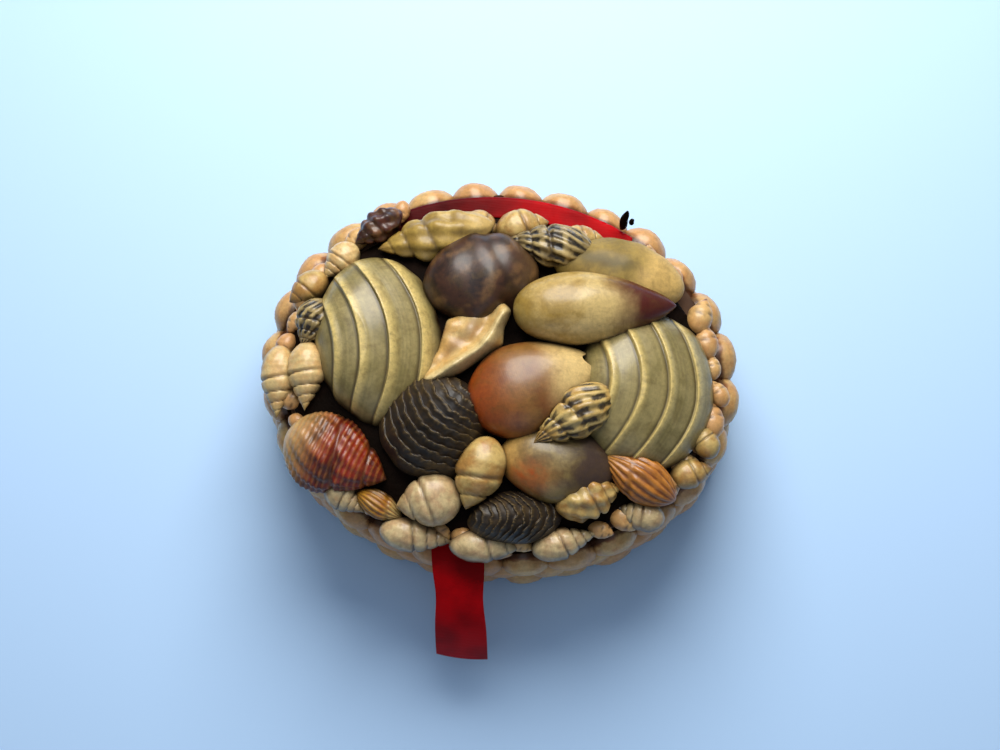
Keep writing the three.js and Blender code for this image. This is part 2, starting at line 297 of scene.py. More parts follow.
class ShellForm(Protocol):
    """A form that a shell on the lid can take."""

    def surface(self, size: tuple[float, float, float], seed: int) -> Surface:
        """Shape one shell of this form.

        Args:
            size: Length, width and height in millimetres.
            seed: Seed of its unevenness.

        Returns:
            The closed surface in millimetres. Its marks are crevice, where grooves and hollows are
            painted darker as shade (on the shard, its stains), pattern, where the shell's own marking
            lies, and along, which runs over its length.
        """


class Spots(Enum):
    """How the marking lies on a coiled shell."""

    NONE = "none"
    BARS = "bars"
    CORDS = "cords"
    GROOVES = "grooves"
    CLOUDS = "clouds"
    # A dark crescent: painted shade where the shell's hollow mouth lies
    SHADED_HOLLOW = "hollow"
    SPOT = "spot"


@dataclass(frozen=True)
class CoilForm:
    """The form of a sea snail's shell, along X from its blunt end to its thin end.

    Widest, blunt and tip shape the outline, turns and joint the coils of the spire. Ribs run along
    the axis and cords round it. Below 1, mouth is the share of the length where the shell is broken
    off and open. Lump is how uneven it is, and fine is how many columns and rows it has. Crowding is
    how the coils close up towards the tip, and seam the width of the joint between them. An open mouth
    has its lip at that share of the rows, with an inner face a little narrower, and jag is how rough
    its edge is.
    """

    widest: float
    blunt: float
    tip: float
    turns: float = 0.0
    joint: float = 0.0
    ribs: int = 0
    rib: float = 0.0
    twist: float = 0.1
    cords: int = 0
    cord: float = 0.0
    mouth: float = 1.0
    lump: float = 0.03
    spots: Spots = Spots.NONE
    fine: tuple[int, int] = (64, 72)
    crowding: float = 1.6
    seam: float = 0.07
    lip: float = 0.85
    inner_width: float = 0.92
    inner_depth: float = 0.2
    jag: float = 0.035

    def surface(self, size: tuple[float, float, float], seed: int) -> Surface:
        """Shape one snail's shell from rows along its axis and columns round it.

        Args:
            size: Length, width and height in millimetres.
            seed: Seed of its unevenness.

        Returns:
            The closed surface with its marks.
        """
        length, width, height = size
        columns, rows = self.fine
        step = np.linspace(0, 1, rows)[:, None]
        round_ = (np.arange(columns) / columns)[None, :]
        inner = np.zeros_like(step)
        end_at = 1.0
        if self.mouth < 1:
            inner = np.clip((step - self.lip) / (1 - self.lip), 0, 1)
            step = np.minimum(step / self.lip, 1)
            jagged = 0.6 * np.sin(2 * np.pi * round_ * 3 + seed) + 0.4 * np.sin(2 * np.pi * round_ * 7)
            end_at = self.mouth * (1 + self.jag * jagged)
        along = (1 - np.cos(np.pi * step)) / 2 * end_at + 0 * round_
        before = along < self.widest
        side = np.where(before, self.widest, 1 - self.widest)
        end = np.where(before, self.blunt, self.tip)
        away = np.clip(np.abs(along - self.widest) / side, 0, 1)
        swell = np.clip(np.cos(np.pi / 2 * away), 0, 1) ** end
        spire, body = np.where(before, 0, away), np.where(before, away, 0)
        turn = self.turns * spire ** self.crowding + round_ - 0.5 * body
        phase = turn % 1
        coiled = smooth(spire, 0.05, 0.2) if self.turns else 0 * spire
        groove = np.exp(-(np.minimum(phase, 1 - phase) / self.seam) ** 2) * coiled
        bulge = np.sin(np.pi * phase) ** 0.7 * coiled
        rib_wave = np.cos(2 * np.pi * self.ribs * (round_ + self.twist * (spire - body)))
        cord_wave = np.cos(2 * np.pi * (self.cords * along + round_))
        fade = (1 - body ** 3) * (1 - groove) * (1 - smooth(spire, 0.75, 1.0))
        share = swell * (1 + self.joint * (0.6 * bulge - groove)
                         + self.rib * rib_wave * fade + self.cord * cord_wave * fade)
        share = share * (1 - inner) * np.where(inner > 0, self.inner_width, 1.0)
        angle = -2 * np.pi * round_
        x = (2 * along - 1) * length / 2 - self.inner_depth * length * np.sqrt(inner)
        points = np.stack([x, share * width / 2 * np.cos(angle), share * height / 2 * np.sin(angle)], -1)
        lump = 1 + self.lump * ripple(points, width * 0.6, seed)
        points[..., 1:] *= lump[..., None]
        hollow = (0.5 - 0.5 * rib_wave) if self.rib else 0
        # Painted shade: the crevice mark darkens the joints between the coils, the hollows between the ribs
        # and the inside of an open mouth
        crevice = np.clip(groove + self.rib * 5 * hollow * fade - 0.1, 0, 1)
        crevice = np.maximum(crevice, smooth(inner, 0.1, 0.5) + 0 * round_)
        pattern = self._pattern(rib_wave, cord_wave, phase, points, seed) * (1 - smooth(inner, 0, 0.1))
        return Surface(points, {"crevice": crevice + 0 * along, "pattern": pattern, "along": along})

    def _pattern(self, rib_wave: np.ndarray, cord_wave: np.ndarray, phase: np.ndarray,
                 points: np.ndarray, seed: int) -> np.ndarray:
        """Lay the marking: bars between the ribs, cords or grooves picked out, or soft clouds.

        Args:
            rib_wave: 1 on the ribs and -1 between them.
            cord_wave: 1 on the cords and -1 between them.
            phase: How far each point is through its turn of the spire.
            points: The surface's points in millimetres.
            seed: Seed of the marking's breaks.

        Returns:
            The marking's strength at each point, from 0 to 1.
        """
        broken = ripple(points, 2.4, seed + 5)
        if self.spots is Spots.BARS:
            hollow = smooth(-rib_wave + 0.5 * broken, -0.5, 0.1)
            row = smooth(-cord_wave + 0.7 * broken, -0.9, -0.1)
            return hollow * row + 0 * phase
        if self.spots is Spots.CORDS:
            return smooth(cord_wave + 0.5 * broken, 0.1, 0.8)
        if self.spots is Spots.GROOVES:
            return smooth(-rib_wave + 0.5 * broken, 0.2, 0.9)
        across, along = points[..., 1] / points[..., 1].max(), points[..., 0] / points[..., 0].max()
        if self.spots is Spots.SPOT:
            return np.exp(-((along + 0.5) ** 2 + (across + 0.5) ** 2 + 0.05 * broken) / 0.13) * 0.9
        # A dark crescent across the shell: painted shade where its hollow mouth lies
        if self.spots is Spots.SHADED_HOLLOW:
            bend = across - 0.15 - 0.5 * (along + 0.2) ** 2 + 0.05 * broken
            return np.exp(-(bend / 0.2) ** 2) * (1 - smooth(np.abs(along + 0.25), 0.3, 0.6))
        if self.spots is Spots.CLOUDS:
            return smooth(ripple(points, 5.0, seed + 6) + 0.4 * broken, 0.2, 0.8)
        return 0 * broken


@dataclass(frozen=True)
class ValveForm:
    """One half of a clam, its beak at -X and its free edge at +X.

    Ridges are the raised growth lines, which cross the shell as arcs, ridge their height as a
    share of the shell's, spread how they crowd towards the edge, and scales the breaks in each. Riser
    is the share of a ridge over which it climbs. The smooth dome takes that share of the height, with
    fullness as its power, and back_mm is how far its flat back lies below its rim.
    """

    ridges: float
    ridge: float
    spread: float = 1.0
    blade_width: float = 0.34
    scales: int = 0
    lump: float = 0.02
    fine: tuple[int, int] = (120, 170)
    riser: float = 0.08
    dome_share: float = 0.94
    fullness: float = 0.55
    back_mm: float = 0.4

    def surface(self, size: tuple[float, float, float], seed: int) -> Surface:
        """Shape one valve from rows that follow its growth lines.

        A growth line bends back towards the beak by the square of its distance aside. Reach is the
        distance at which it meets the valve's rim.

        Args:
            size: Length, width and height in millimetres.
            seed: Seed of its unevenness.

        Returns:
            The closed surface with its marks.
        """
        length, width, height = size
        columns, rows = self.fine
        share = np.linspace(0, 1, rows)[:, None]
        reach = np.sqrt(np.clip(np.sqrt(1 - share) - (1 - share), 0, None))
        angle = around(columns)
        aside = np.cos(angle) * reach
        across = share - 0.5 - aside ** 2
        dome = np.clip(1 - 4 * across ** 2 - 4 * aside ** 2, 0, 1)
        top = np.sin(angle) >= 0
        plane = np.stack([across * length, aside * width, 0 * across], -1)
        wobble = 0.05 * ripple(plane, length * 0.9, seed)
        if self.scales:
            wobble = wobble + 0.2 * ripple(plane * [0.5, 1, 1], length * 0.1, seed + 9)
        grown = share ** self.spread * self.ridges + wobble
        phase = grown % 1
        start = smooth(phase, 0.0, self.riser)
        blade = start * (1 - smooth(phase, self.riser, self.blade_width))
        if self.scales:
            blade = blade * (0.55 + 0.45 * np.sin(self.scales * np.cos(angle) * 9
                                                  + 4 * ripple(plane, length * 0.12, seed + 4)))
        rise = self.ridge * height * dome ** 0.3 * (0.6 * start * (1 - phase) ** 1.3 + 0.4 * blade)
        notch = 1 + self.lump * ripple(plane, length * 0.3, seed + 3) * smooth(1 - dome, 0.5, 1.0)
        z = self.dome_share * height * dome ** self.fullness * (1 - 0.5 * across) + np.where(top, rise, 0)
        z = np.where(top, np.clip(z, 0, height * 1.02), -self.back_mm)
        points = np.stack([across * length * notch, aside * width * notch, z], -1)
        edge = 1 - smooth(dome, 0.0, 0.05)
        # Painted shade: the crevice mark is a dark line at the foot of each ridge
        marks = {
            "crevice": np.exp(-((phase - 0.97) / 0.06) ** 2) * top,
            "pattern": np.maximum(blade, 0.8 * edge) * top,
            "along": share + 0 * angle,
        }
        return Surface(points, marks)


@dataclass(frozen=True)
class ShardForm:
    """A broken piece of a big shell: an angular plate with a rolled lip along one side.

    The outline's corners and the lip's line are shares of the length and width from the middle.
    """

    outline: tuple[tuple[float, float], ...]
    lip: tuple[tuple[float, float], ...]
    lip_width: float = 2.4
    fine: tuple[int, int] = (132, 50)

    def surface(self, size: tuple[float, float, float], seed: int) -> Surface:
        """Shape the shard from rings that grow from its middle to its outline.

        Args:
            size: Length, width and height in millimetres.
            seed: Seed of its unevenness.

        Returns:
            The closed surface with its marks.
        """
        length, width, height = size
        columns, rows = self.fine
        corners = np.array(self.outline) * [length, width]
        loop = np.vstack([corners, corners[:1]])
        run = distances(loop)
        at = np.arange(columns) / columns * run[-1]
        edge = np.stack([np.interp(at, run, loop[:, axis]) for axis in (0, 1)], 1)
        for _ in range(2):
            edge = (np.roll(edge, 1, 0) + 2 * edge + np.roll(edge, -1, 0)) / 4
        middle = corners.mean(axis=0)
        grow = np.linspace(0, 1, rows - 2)[:, None, None] ** 0.8
        plane = middle + (edge[None] - middle) * grow
        flat = np.concatenate([plane, np.zeros(plane.shape[:2] + (1,))], -1)
        line = np.array(self.lip) * [length, width]
        dense = np.stack([np.interp(np.linspace(0, len(line) - 1, 60), np.arange(len(line)), line[:, axis])
                          for axis in (0, 1)], 1)
        away = np.linalg.norm(plane[:, :, None] - dense[None, None], axis=-1).min(axis=-1)
        lip = np.exp(-(away / self.lip_width) ** 2)
        fall = np.clip(1 - grow[..., 0] ** 5, 0, 1) ** 0.5
        z = height * (0.05 + fall * (0.32 + 0.5 * lip + 0.08 * ripple(flat, 6.0, seed)))
        z = z - height * 0.5
        top = np.concatenate([plane, z[..., None]], -1)
        blank = np.zeros((2, columns))
        stain = smooth(away, 1.8, 4.2) * smooth(ripple(flat, 7.0, seed + 1), -0.5, 0.5)
        marks = {
            "crevice": np.concatenate([stain * 0.8, blank]),
            "pattern": np.concatenate([smooth(lip, 0.35, 0.8), blank]),
            "along": np.concatenate([grow[..., 0] * 0.5 + 0 * lip, blank]),
        }
        points = with_back(top, 2, -height * 0.5)[:, ::-1]
        return Surface(points, {name: mark[:, ::-1] for name, mark in marks.items()})


class Graph:
    """The nodes of one new material, laid out in the piece's own space."""

    def __init__(self, name: str) -> None:
        """Start the material with an empty tree.

        Args:
            name: The material's name.
        """
        self.material = bpy.data.materials.new(name)
        self.material.use_nodes = True
        self.tree = self.material.node_tree
        self.tree.nodes.clear()
        self.place = add_node(self.tree, "TexCoord").outputs["Object"]

    def noise(self, lump_mm: float, detail: float, roughness: float = 0.5,
              distortion: float = 0.0) -> Socket:
        """Add noise to the tree.

        Args:
            lump_mm: About how large its lumps are.
            detail: How many finer layers it has.
            roughness: How strong the finer layers are.
            distortion: How far it is pulled out of shape.

        Returns:
            The noise, from 0 to 1.
        """
        return add_node(self.tree, "TexNoise", {
            "Scale": 1 / (lump_mm * MM), "Detail": detail, "Roughness": roughness,
            "Distortion": distortion, "Vector": self.place}).outputs["Fac"]

    def mark(self, name: str) -> Socket:
        """One of the mesh's marks, or 0 where it has none of that name."""
        return add_node(self.tree, "Attribute", {"attribute_name": name}).outputs["Fac"]

    def remap(self, value: Socket, start: float, end: float, low: float = 0.0, high: float = 1.0,
              soft: bool = False) -> Socket:
        """Stretch a value to another range.

        Args:
            value: What is stretched.
            start: The value that gives low.
            end: The value that gives high.
            low: The result at start.
            high: The result at end.
            soft: Whether it eases in and out.

        Returns:
            The stretched value, held between low and high.
        """
        return add_node(self.tree, "MapRange", {
            "From Min": start, "From Max": end, "To Min": low, "To Max": high, "Value": value,
            "interpolation_type": "SMOOTHSTEP" if soft else "LINEAR"}).outputs["Result"]

    def math(self, operation: str, *values: Socket | float, clamp: bool = False) -> Socket:
        """One step of arithmetic."""
        settings = {"operation": operation, "use_clamp": clamp}
        return add_node(self.tree, "Math", settings | dict(enumerate(values))).outputs[0]

    def mix(self, amount: Socket | float, under: Socket | str, over: Socket | str,
            blend: str = "MIX") -> Socket:
        """Lay one colour over another.

        Args:
            amount: How much of the upper one shows.
            under: The lower colour, as a socket or a hex code.
            over: The upper colour, in the same way.
            blend: How the two mix.

        Returns:
            The mixed colour.
        """
        below, above = (linear(colour) if isinstance(colour, str) else colour for colour in (under, over))
        return add_node(self.tree, "Mix", {"data_type": "RGBA", "blend_type": blend,
                                           0: amount, 6: below, 7: above}).outputs[2]

    def shaded(self, colour: Socket, height: Socket, strength: float, depth_mm: float,
               gloss: dict) -> bpy.types.Material:
        """Finish the material.

        Args:
            colour: Its base colour.
            height: The relief's height, from 0 to 1.
            strength: The relief's strength.
            depth_mm: The relief's depth.
            gloss: Values of the shader's other inputs.

        Returns:
            The material.
        """
        bump = add_node(self.tree, "Bump",
                        {"Strength": strength, "Distance": depth_mm * MM, "Height": height})
        shader = add_node(self.tree, "BsdfPrincipled",
                          gloss | {"Base Color": colour, "Normal": bump.outputs["Normal"]})
        add_node(self.tree, "OutputMaterial", {"Surface": shader.outputs[0]})
        return self.material


@dataclass(frozen=True)
class VarnishedShell:
    """Aragonite shell, grown in layers and brushed with clear varnish.

    The varnish gives a wet highlight over a soft, chalky colour, and it has yellowed the pale shells.
    The crevice mark takes the groove colour: painted shade in grooves and hollows, and on the shard its
    stains. The root is the blunt end, and the tip the thin one. Hollow_shade is how far the places near
    other surfaces, found by ambient occlusion, are painted towards the dark glue colour, a painted shade;
    coat is the weight of the varnish and aged how far it has yellowed. A tinted finish follows the tint
    that each valve has of its own.
    """

    name: str
    base: str
    blotch: str
    mark: str
    tip: str
    root: str = ""
    # The crevice mark's colour: painted shade in grooves and hollows, and on the shard its stains
    groove: str = "#3a2718"
    blotch_mm: float = 5.0
    tip_from: float = 0.8
    tip_to: float = 1.0
    root_to: float = 0.4
    mark_weight: float = 0.8
    groove_weight: float = 0.8
    roughness: float = 0.40
    bump_mm: float = 0.06
    fleck_mm: float = 0.9
    growth_turn: float = 420.0
    streaks: float = 0.0
    hollow_shade: float = 0.85
    coat: float = 0.32
    aged: float = 0.36
    tinted: bool = False
    tint: str = "#f0c09c"

    def material(self) -> bpy.types.Material:
        """Build it from blotches, the tip's colour, marks, grooves and fine growth lines.

        Returns:
            The material.
        """
        graph = Graph(self.name)
        cloud = graph.noise(self.blotch_mm, 4.0, 0.6, 0.4)
        fleck = graph.noise(self.fleck_mm, 3.0, 0.7)
        along = graph.mark("along")
        colour = graph.mix(graph.remap(cloud, 0.38, 0.64, soft=True), self.base, self.blotch)
        if self.tinted:
            colour = graph.mix(graph.mark("tint"), colour, self.tint)
        uneven = graph.math("MULTIPLY_ADD", cloud, 0.3, along)
        tipped = graph.remap(uneven, self.tip_from + 0.15, self.tip_to + 0.15, soft=True)
        colour = graph.mix(tipped, colour, self.tip)
        if self.root:
            rooted = graph.remap(uneven, self.root_to + 0.15, 0.1, soft=True)
            colour = graph.mix(rooted, colour, self.root)
        if self.streaks:
            grown = add_node(graph.tree, "CombineXYZ", {"X": along}).outputs[0]
            streak = add_node(graph.tree, "TexNoise", {"Scale": 38.0, "Detail": 5.0, "Roughness": 0.7,
                                                       "Vector": grown}).outputs["Fac"]
            streaky = graph.remap(streak, 0.3, 0.7, 1 - self.streaks, 1 + self.streaks * 0.5)
            colour = graph.mix(1.0, colour, streaky, "MULTIPLY")
        broken = graph.remap(fleck, 0.25, 0.5, 0.6)
        # The crevice mark takes the groove colour: painted shade in grooves and hollows, and on the shard
        # its stains
        for mark, code, weight in (("pattern", self.mark, self.mark_weight),
                                   ("crevice", self.groove, self.groove_weight)):
            strength = graph.math("MULTIPLY", graph.mark(mark), weight)
            colour = graph.mix(graph.math("MULTIPLY", strength, broken, clamp=True), colour, code)
        # Painted shade: places close to other surfaces, found by ambient occlusion, and each shell's foot
        # turn towards the dark glue colour; at the foot it is partly real glue
        near = add_node(graph.tree, "AmbientOcclusion", {"samples": 6, "Distance": 2.6 * MM}).outputs["AO"]
        hollow_shade = graph.remap(near, 0.75, 0.2, 0.0, self.hollow_shade)
        colour = graph.mix(graph.math("MAXIMUM", graph.mark("foot"), hollow_shade), colour, DARK_GLUE_AND_SHADE)
        yellowed = graph.remap(graph.noise(3.4, 6.0, 0.65, 0.8), 0.45, 0.72, 0.0, self.aged, soft=True)
        colour = graph.mix(yellowed, colour, AGED_VARNISH)
        colour = graph.mix(1.0, colour, graph.remap(fleck, 0.3, 0.7, 0.82, 1.1), "MULTIPLY")
        colour = graph.mix(1.0, colour, VARNISH, "MULTIPLY")
        lined = graph.math("SINE", graph.math("MULTIPLY", along, self.growth_turn))
        relief = graph.math("MULTIPLY_ADD", lined, 0.06, fleck)
        return graph.shaded(colour, relief, 0.5, self.bump_mm, {
            "Roughness": self.roughness, "IOR": 1.5, "Coat Weight": self.coat, "Coat Roughness": 0.17,
            "Coat IOR": 1.45})


@dataclass(frozen=True)
class WovenSatin:
    """Polyester satin, woven with long floats: a soft gloss and deep, dark folds.

    Shadow_x is the stretch along X, in metres, over which a painted shadow fades from dark to none.
    """

    name: str
    base: str = "#b80008"
    deep: str = "#8f0006"
    thread_mm: float = 0.30
    roughness: float = 0.5
    shadow_x: tuple[float, float] = (-1.0, -0.9)

    def material(self) -> bpy.types.Material:
        """Build it from threads that are drawn at 0.3 mm, coarser than real, so that they show.

        Returns:
            The material.
        """
        graph = Graph(self.name)
        wave = 2 * math.pi / 20 / (self.thread_mm * MM)
        weft, warp = (
            add_node(graph.tree, "TexWave", {"Scale": wave * share, "Distortion": distortion,
                                             "bands_direction": axis, "Vector": graph.place}).outputs["Fac"]
            for share, distortion, axis in ((1.0, 0.6, "X"), (0.5, 0.8, "Y")))
        worn = graph.remap(graph.noise(7, 3.0), 0.35, 0.68)
        colour = graph.mix(worn, self.base, self.deep)
        # Painted shadow: the satin is darkened along X, dark at one end and fading to none
        side = add_node(graph.tree, "SeparateXYZ", {"Vector": graph.place}).outputs["X"]
        painted_shadow = graph.remap(side, *self.shadow_x, low=0.16, soft=True)
        colour = graph.mix(1.0, colour, painted_shadow, "MULTIPLY")
        threads = graph.math("MULTIPLY_ADD", weft, 0.5, warp)
        return graph.shaded(colour, threads, 0.25, 0.05, {
            "Roughness": self.roughness, "Sheen Weight": 0.15, "Sheen Roughness": 0.4,
            "Sheen Tint": linear("#ff2028"), "Specular IOR Level": 0.07})


@dataclass(frozen=True)
class SetGlue:
    """Brown craft glue, poured and set: dark, nearly matt, with soft lumps."""

    name: str
    base: str
    light: str
    roughness: float = 0.7
    shine: float = 0.08

    def material(self) -> bpy.types.Material:
        """Build it from a slow change of colour and lumps of 1.5 mm.

        Returns:
            The material.
        """
        graph = Graph(self.name)
        colour = graph.mix(graph.remap(graph.noise(4, 5.0), 0.45, 0.72), self.base, self.light)
        return graph.shaded(colour, graph.noise(1.5, 4.0), 0.7, 0.4, {
            "Roughness": self.roughness, "IOR": 1.45, "Specular IOR Level": self.shine})


@dataclass(frozen=True)
class GreyBoard:
    """Pressed card, cut and smeared with glue: matt brown, with short fibres."""

    name: str = "glue_stained_greyboard"
    base: str = "#6b4a30"
    stain: str = "#3a2416"

    def material(self) -> bpy.types.Material:
        """Build it from fibres of about 1 mm and slow stains.

        Returns:
            The material.
        """
        graph = Graph(self.name)
        colour = graph.mix(graph.remap(graph.noise(12, 4.0), 0.4, 0.65), self.base, self.stain)
        return graph.shaded(colour, graph.noise(0.8, 6.0), 0.4, 0.15, {"Roughness": 0.85})


CONCH = CoilForm(0.36, 0.42, 0.74, lump=0.02, fine=(90, 80))
BROKEN_CONCH = CoilForm(0.4, 0.5, 0.55, lump=0.02, mouth=0.93, fine=(110, 90))
LIPPED_CONCH = CoilForm(0.5, 0.7, 0.5, lump=0.06, spots=Spots.SHADED_HOLLOW, fine=(90, 80))
BUBBLE = CoilForm(0.5, 0.5, 0.5, turns=1.1, joint=0.03, cords=4, cord=0.012, lump=0.08, spots=Spots.CLOUDS,
                  fine=(96, 80))
PATCHED = CoilForm(0.45, 0.5, 0.6, lump=0.05, spots=Spots.SPOT, fine=(96, 80))
WHELK = CoilForm(0.34, 0.5, 1.15, turns=4.4, joint=0.17, ribs=12, rib=0.012, cords=14, cord=0.006,
                 fine=(64, 80))
BARRED = CoilForm(0.36, 0.5, 1.05, turns=3.6, joint=0.13, ribs=12, rib=0.06, cords=4, cord=0.02,
                  spots=Spots.BARS, fine=(120, 90))
KNOBBLY = CoilForm(0.42, 0.6, 0.9, turns=3.2, joint=0.10, ribs=7, rib=0.07, cords=5, cord=0.05,
                   lump=0.05, spots=Spots.CLOUDS, fine=(84, 84))
FLUTED = CoilForm(0.45, 0.6, 0.85, turns=1.2, joint=0.05, ribs=15, rib=0.055, twist=0.03,
                  spots=Spots.GROOVES, fine=(110, 70))
CORDED = CoilForm(0.34, 0.5, 0.85, turns=2.2, joint=0.08, ribs=14, rib=0.03, cords=20, cord=0.016,
                  lump=0.05, spots=Spots.CORDS, fine=(130, 160))
DOVE = CoilForm(0.4, 0.5, 0.85, turns=2.4, joint=0.10, cords=10, cord=0.004, fine=(64, 64))
RIM_SHELL = CoilForm(0.4, 0.5, 0.8, turns=2.4, joint=0.12, fine=(22, 26))
CLAM_LEFT = ValveForm(ridges=4.6, ridge=0.13, spread=0.85, blade_width=0.46)
CLAM_RIGHT = ValveForm(ridges=4.7, ridge=0.11, blade_width=0.36)
SCALED = ValveForm(ridges=12.0, ridge=0.15, blade_width=0.5, scales=6, lump=0.05, fine=(150, 160))
LIP_SHARD = ShardForm(
    outline=((-0.49, -0.35), (-0.50, -0.10), (-0.36, 0.10), (-0.28, 0.34), (0.13, 0.34), (0.46, 0.26),
             (0.48, 0.09), (0.44, -0.07), (0.19, -0.27), (-0.01, -0.66), (-0.30, -0.47)),
    lip=((-0.47, -0.10), (-0.31, 0.08), (-0.14, 0.22), (0.17, 0.22), (0.40, 0.17)), lip_width=1.8)

CREAM = VarnishedShell("varnished_cream_shell", "#eee1ba", "#bea863", "#efe3bd", "#5c1a00",
                       root="#a89c62", root_to=0.16, tip_from=0.47, tip_to=0.77, blotch_mm=11.0,
                       hollow_shade=0.7)
SHARD = VarnishedShell("varnished_cream_shard", "#fff0cc", "#f3d29c", "#fffce8", "#fff0cc",
                       groove="#7a5058", groove_weight=0.7, hollow_shade=0.35, aged=0.25)
OLIVE_CLAM = VarnishedShell("varnished_olive_clam", "#b6b496", "#9c9a78", "#fff6c4", "#b0a884",
                            groove="#453f2a", tip_from=0.97, mark_weight=1.0,
                            blotch_mm=7.0, streaks=0.22, hollow_shade=0.7)
ORANGE = VarnishedShell("varnished_orange_conch", "#a27c4c", "#8e5c34", "#d9b48c", "#fff0cc",
                        root="#b85410", root_to=0.44, tip_from=0.52, tip_to=0.80, blotch_mm=8.0)
PURPLE = VarnishedShell("varnished_purple_snail", "#50352c", "#2c1a14", "#94765c", "#6b5748",
                        tip_from=0.7, roughness=0.42, mark_weight=0.5, blotch_mm=3.5, coat=0.2)
# Its dark crescent mark is painted shade where the shell's hollow mouth lies
OLIVE = VarnishedShell("varnished_olive_conch", "#b8a864", "#998a48", "#5f5a28", "#ecd49c",
                       root="#8a8044", root_to=0.3, tip_from=0.5, tip_to=0.8, roughness=0.6,
                       coat=0.08)
BEIGE = VarnishedShell("varnished_beige_conch", "#a39a72", "#7a6c48", "#c4661e", "#54464a",
                       root="#e8c88c", root_to=0.36, tip_from=0.45, tip_to=0.75, mark_weight=1.0)
SPECKLED = VarnishedShell("varnished_speckled_nassa", "#efe2b4", "#d9bd80", "#1c1410", "#cdb280",
                          mark_weight=0.95, groove_weight=0.5)
BANDED = VarnishedShell("varnished_banded_nassa", "#d6ccac", "#8e8468", "#0c0a08", "#cbbf9f",
                        mark_weight=1.0)
OCHRE = VarnishedShell("varnished_ochre_whelk", "#e2a04e", "#cc8a40", "#7d4420", "#d8ae68",
                       groove_weight=0.4)
MUREX = VarnishedShell("varnished_olive_murex", "#dcc87c", "#b29c50", "#f2e2b0", "#b59a5e",
                       root="#e8d4a4", mark_weight=0.7, roughness=0.5, hollow_shade=0.6)
YELLOW = VarnishedShell("varnished_yellow_whelk", "#d9aa3f", "#c48a2c", "#9a5a1c", "#e8d8a8",
                        groove_weight=0.3, tip_from=0.6, tip_to=0.8)
RED = VarnishedShell("varnished_red_whelk", "#a42c08", "#5a1204", "#e2a060", "#7a2c14",
                     root="#ecd6b0", root_to=0.46, mark_weight=0.35, groove_weight=0.6, coat=0.2)
# Its pale mark on the crests of the scales is partly the shell's own colour and partly a painted highlight
DARK = VarnishedShell("varnished_dark_ark", "#33291b", "#18110b", "#8a7a54", "#261e15",
                      groove="#0d0907", roughness=0.55, coat=0.12)
BROWN = VarnishedShell("varnished_brown_cerith", "#5d2f22", "#3a1c15", "#9a7460", "#2b1712")
WHITE = VarnishedShell("varnished_white_snail", "#f6efe2", "#e0c9ba", "#ffffff", "#cdbb9e",
                       blotch_mm=3.0, hollow_shade=0.6)
PALE = VarnishedShell("varnished_pale_dove", "#eedeae", "#d0a870", "#f6e8bc", "#cfae74")
CONE = VarnishedShell("varnished_pale_cone", "#fff4d8", "#f8dcb8", "#fff8e0", "#f2e0a8",
                      blotch_mm=3.0, hollow_shade=0.3, aged=0.12)
SIDE = VarnishedShell("varnished_coquina", "#ffe6bd", "#edc396", "#b98558", "#a06a44", tinted=True,
                      tip_from=0.9, blotch_mm=4.0, hollow_shade=0.5, aged=0.2)
SATIN = WovenSatin("red_woven_satin")
# The hinge strip, with a painted shadow that darkens its left end
STRIP_SATIN = WovenSatin("red_satin_painted_shadow", shadow_x=(-0.018, 0.012))
DARK_SATIN = WovenSatin("red_woven_lining", base="#9c0d1b")
# The glue mound is near-black: its own dark glue, darkened further to stand in for the shade in the gaps
# between the shells
BED_GLUE = SetGlue("dark_set_glue", "#0e0703", "#180c06", shine=0.06)
SIDE_GLUE = SetGlue("brown_set_glue", "#3c2214", "#5a3620")


@dataclass(frozen=True)
class LidShell:
    """One shell on the lid, as the frame's node of that name has it.

    At is the place as a share of the box's half length and half width, lift the height of the
    shell's middle over the glue in millimetres, and the angles are in degrees.
    """

    node: str
    form: ShellForm
    finish: VarnishedShell
    size: tuple[float, float, float]
    at: tuple[float, float]
    lift: float
    heading: float
    pitch: float


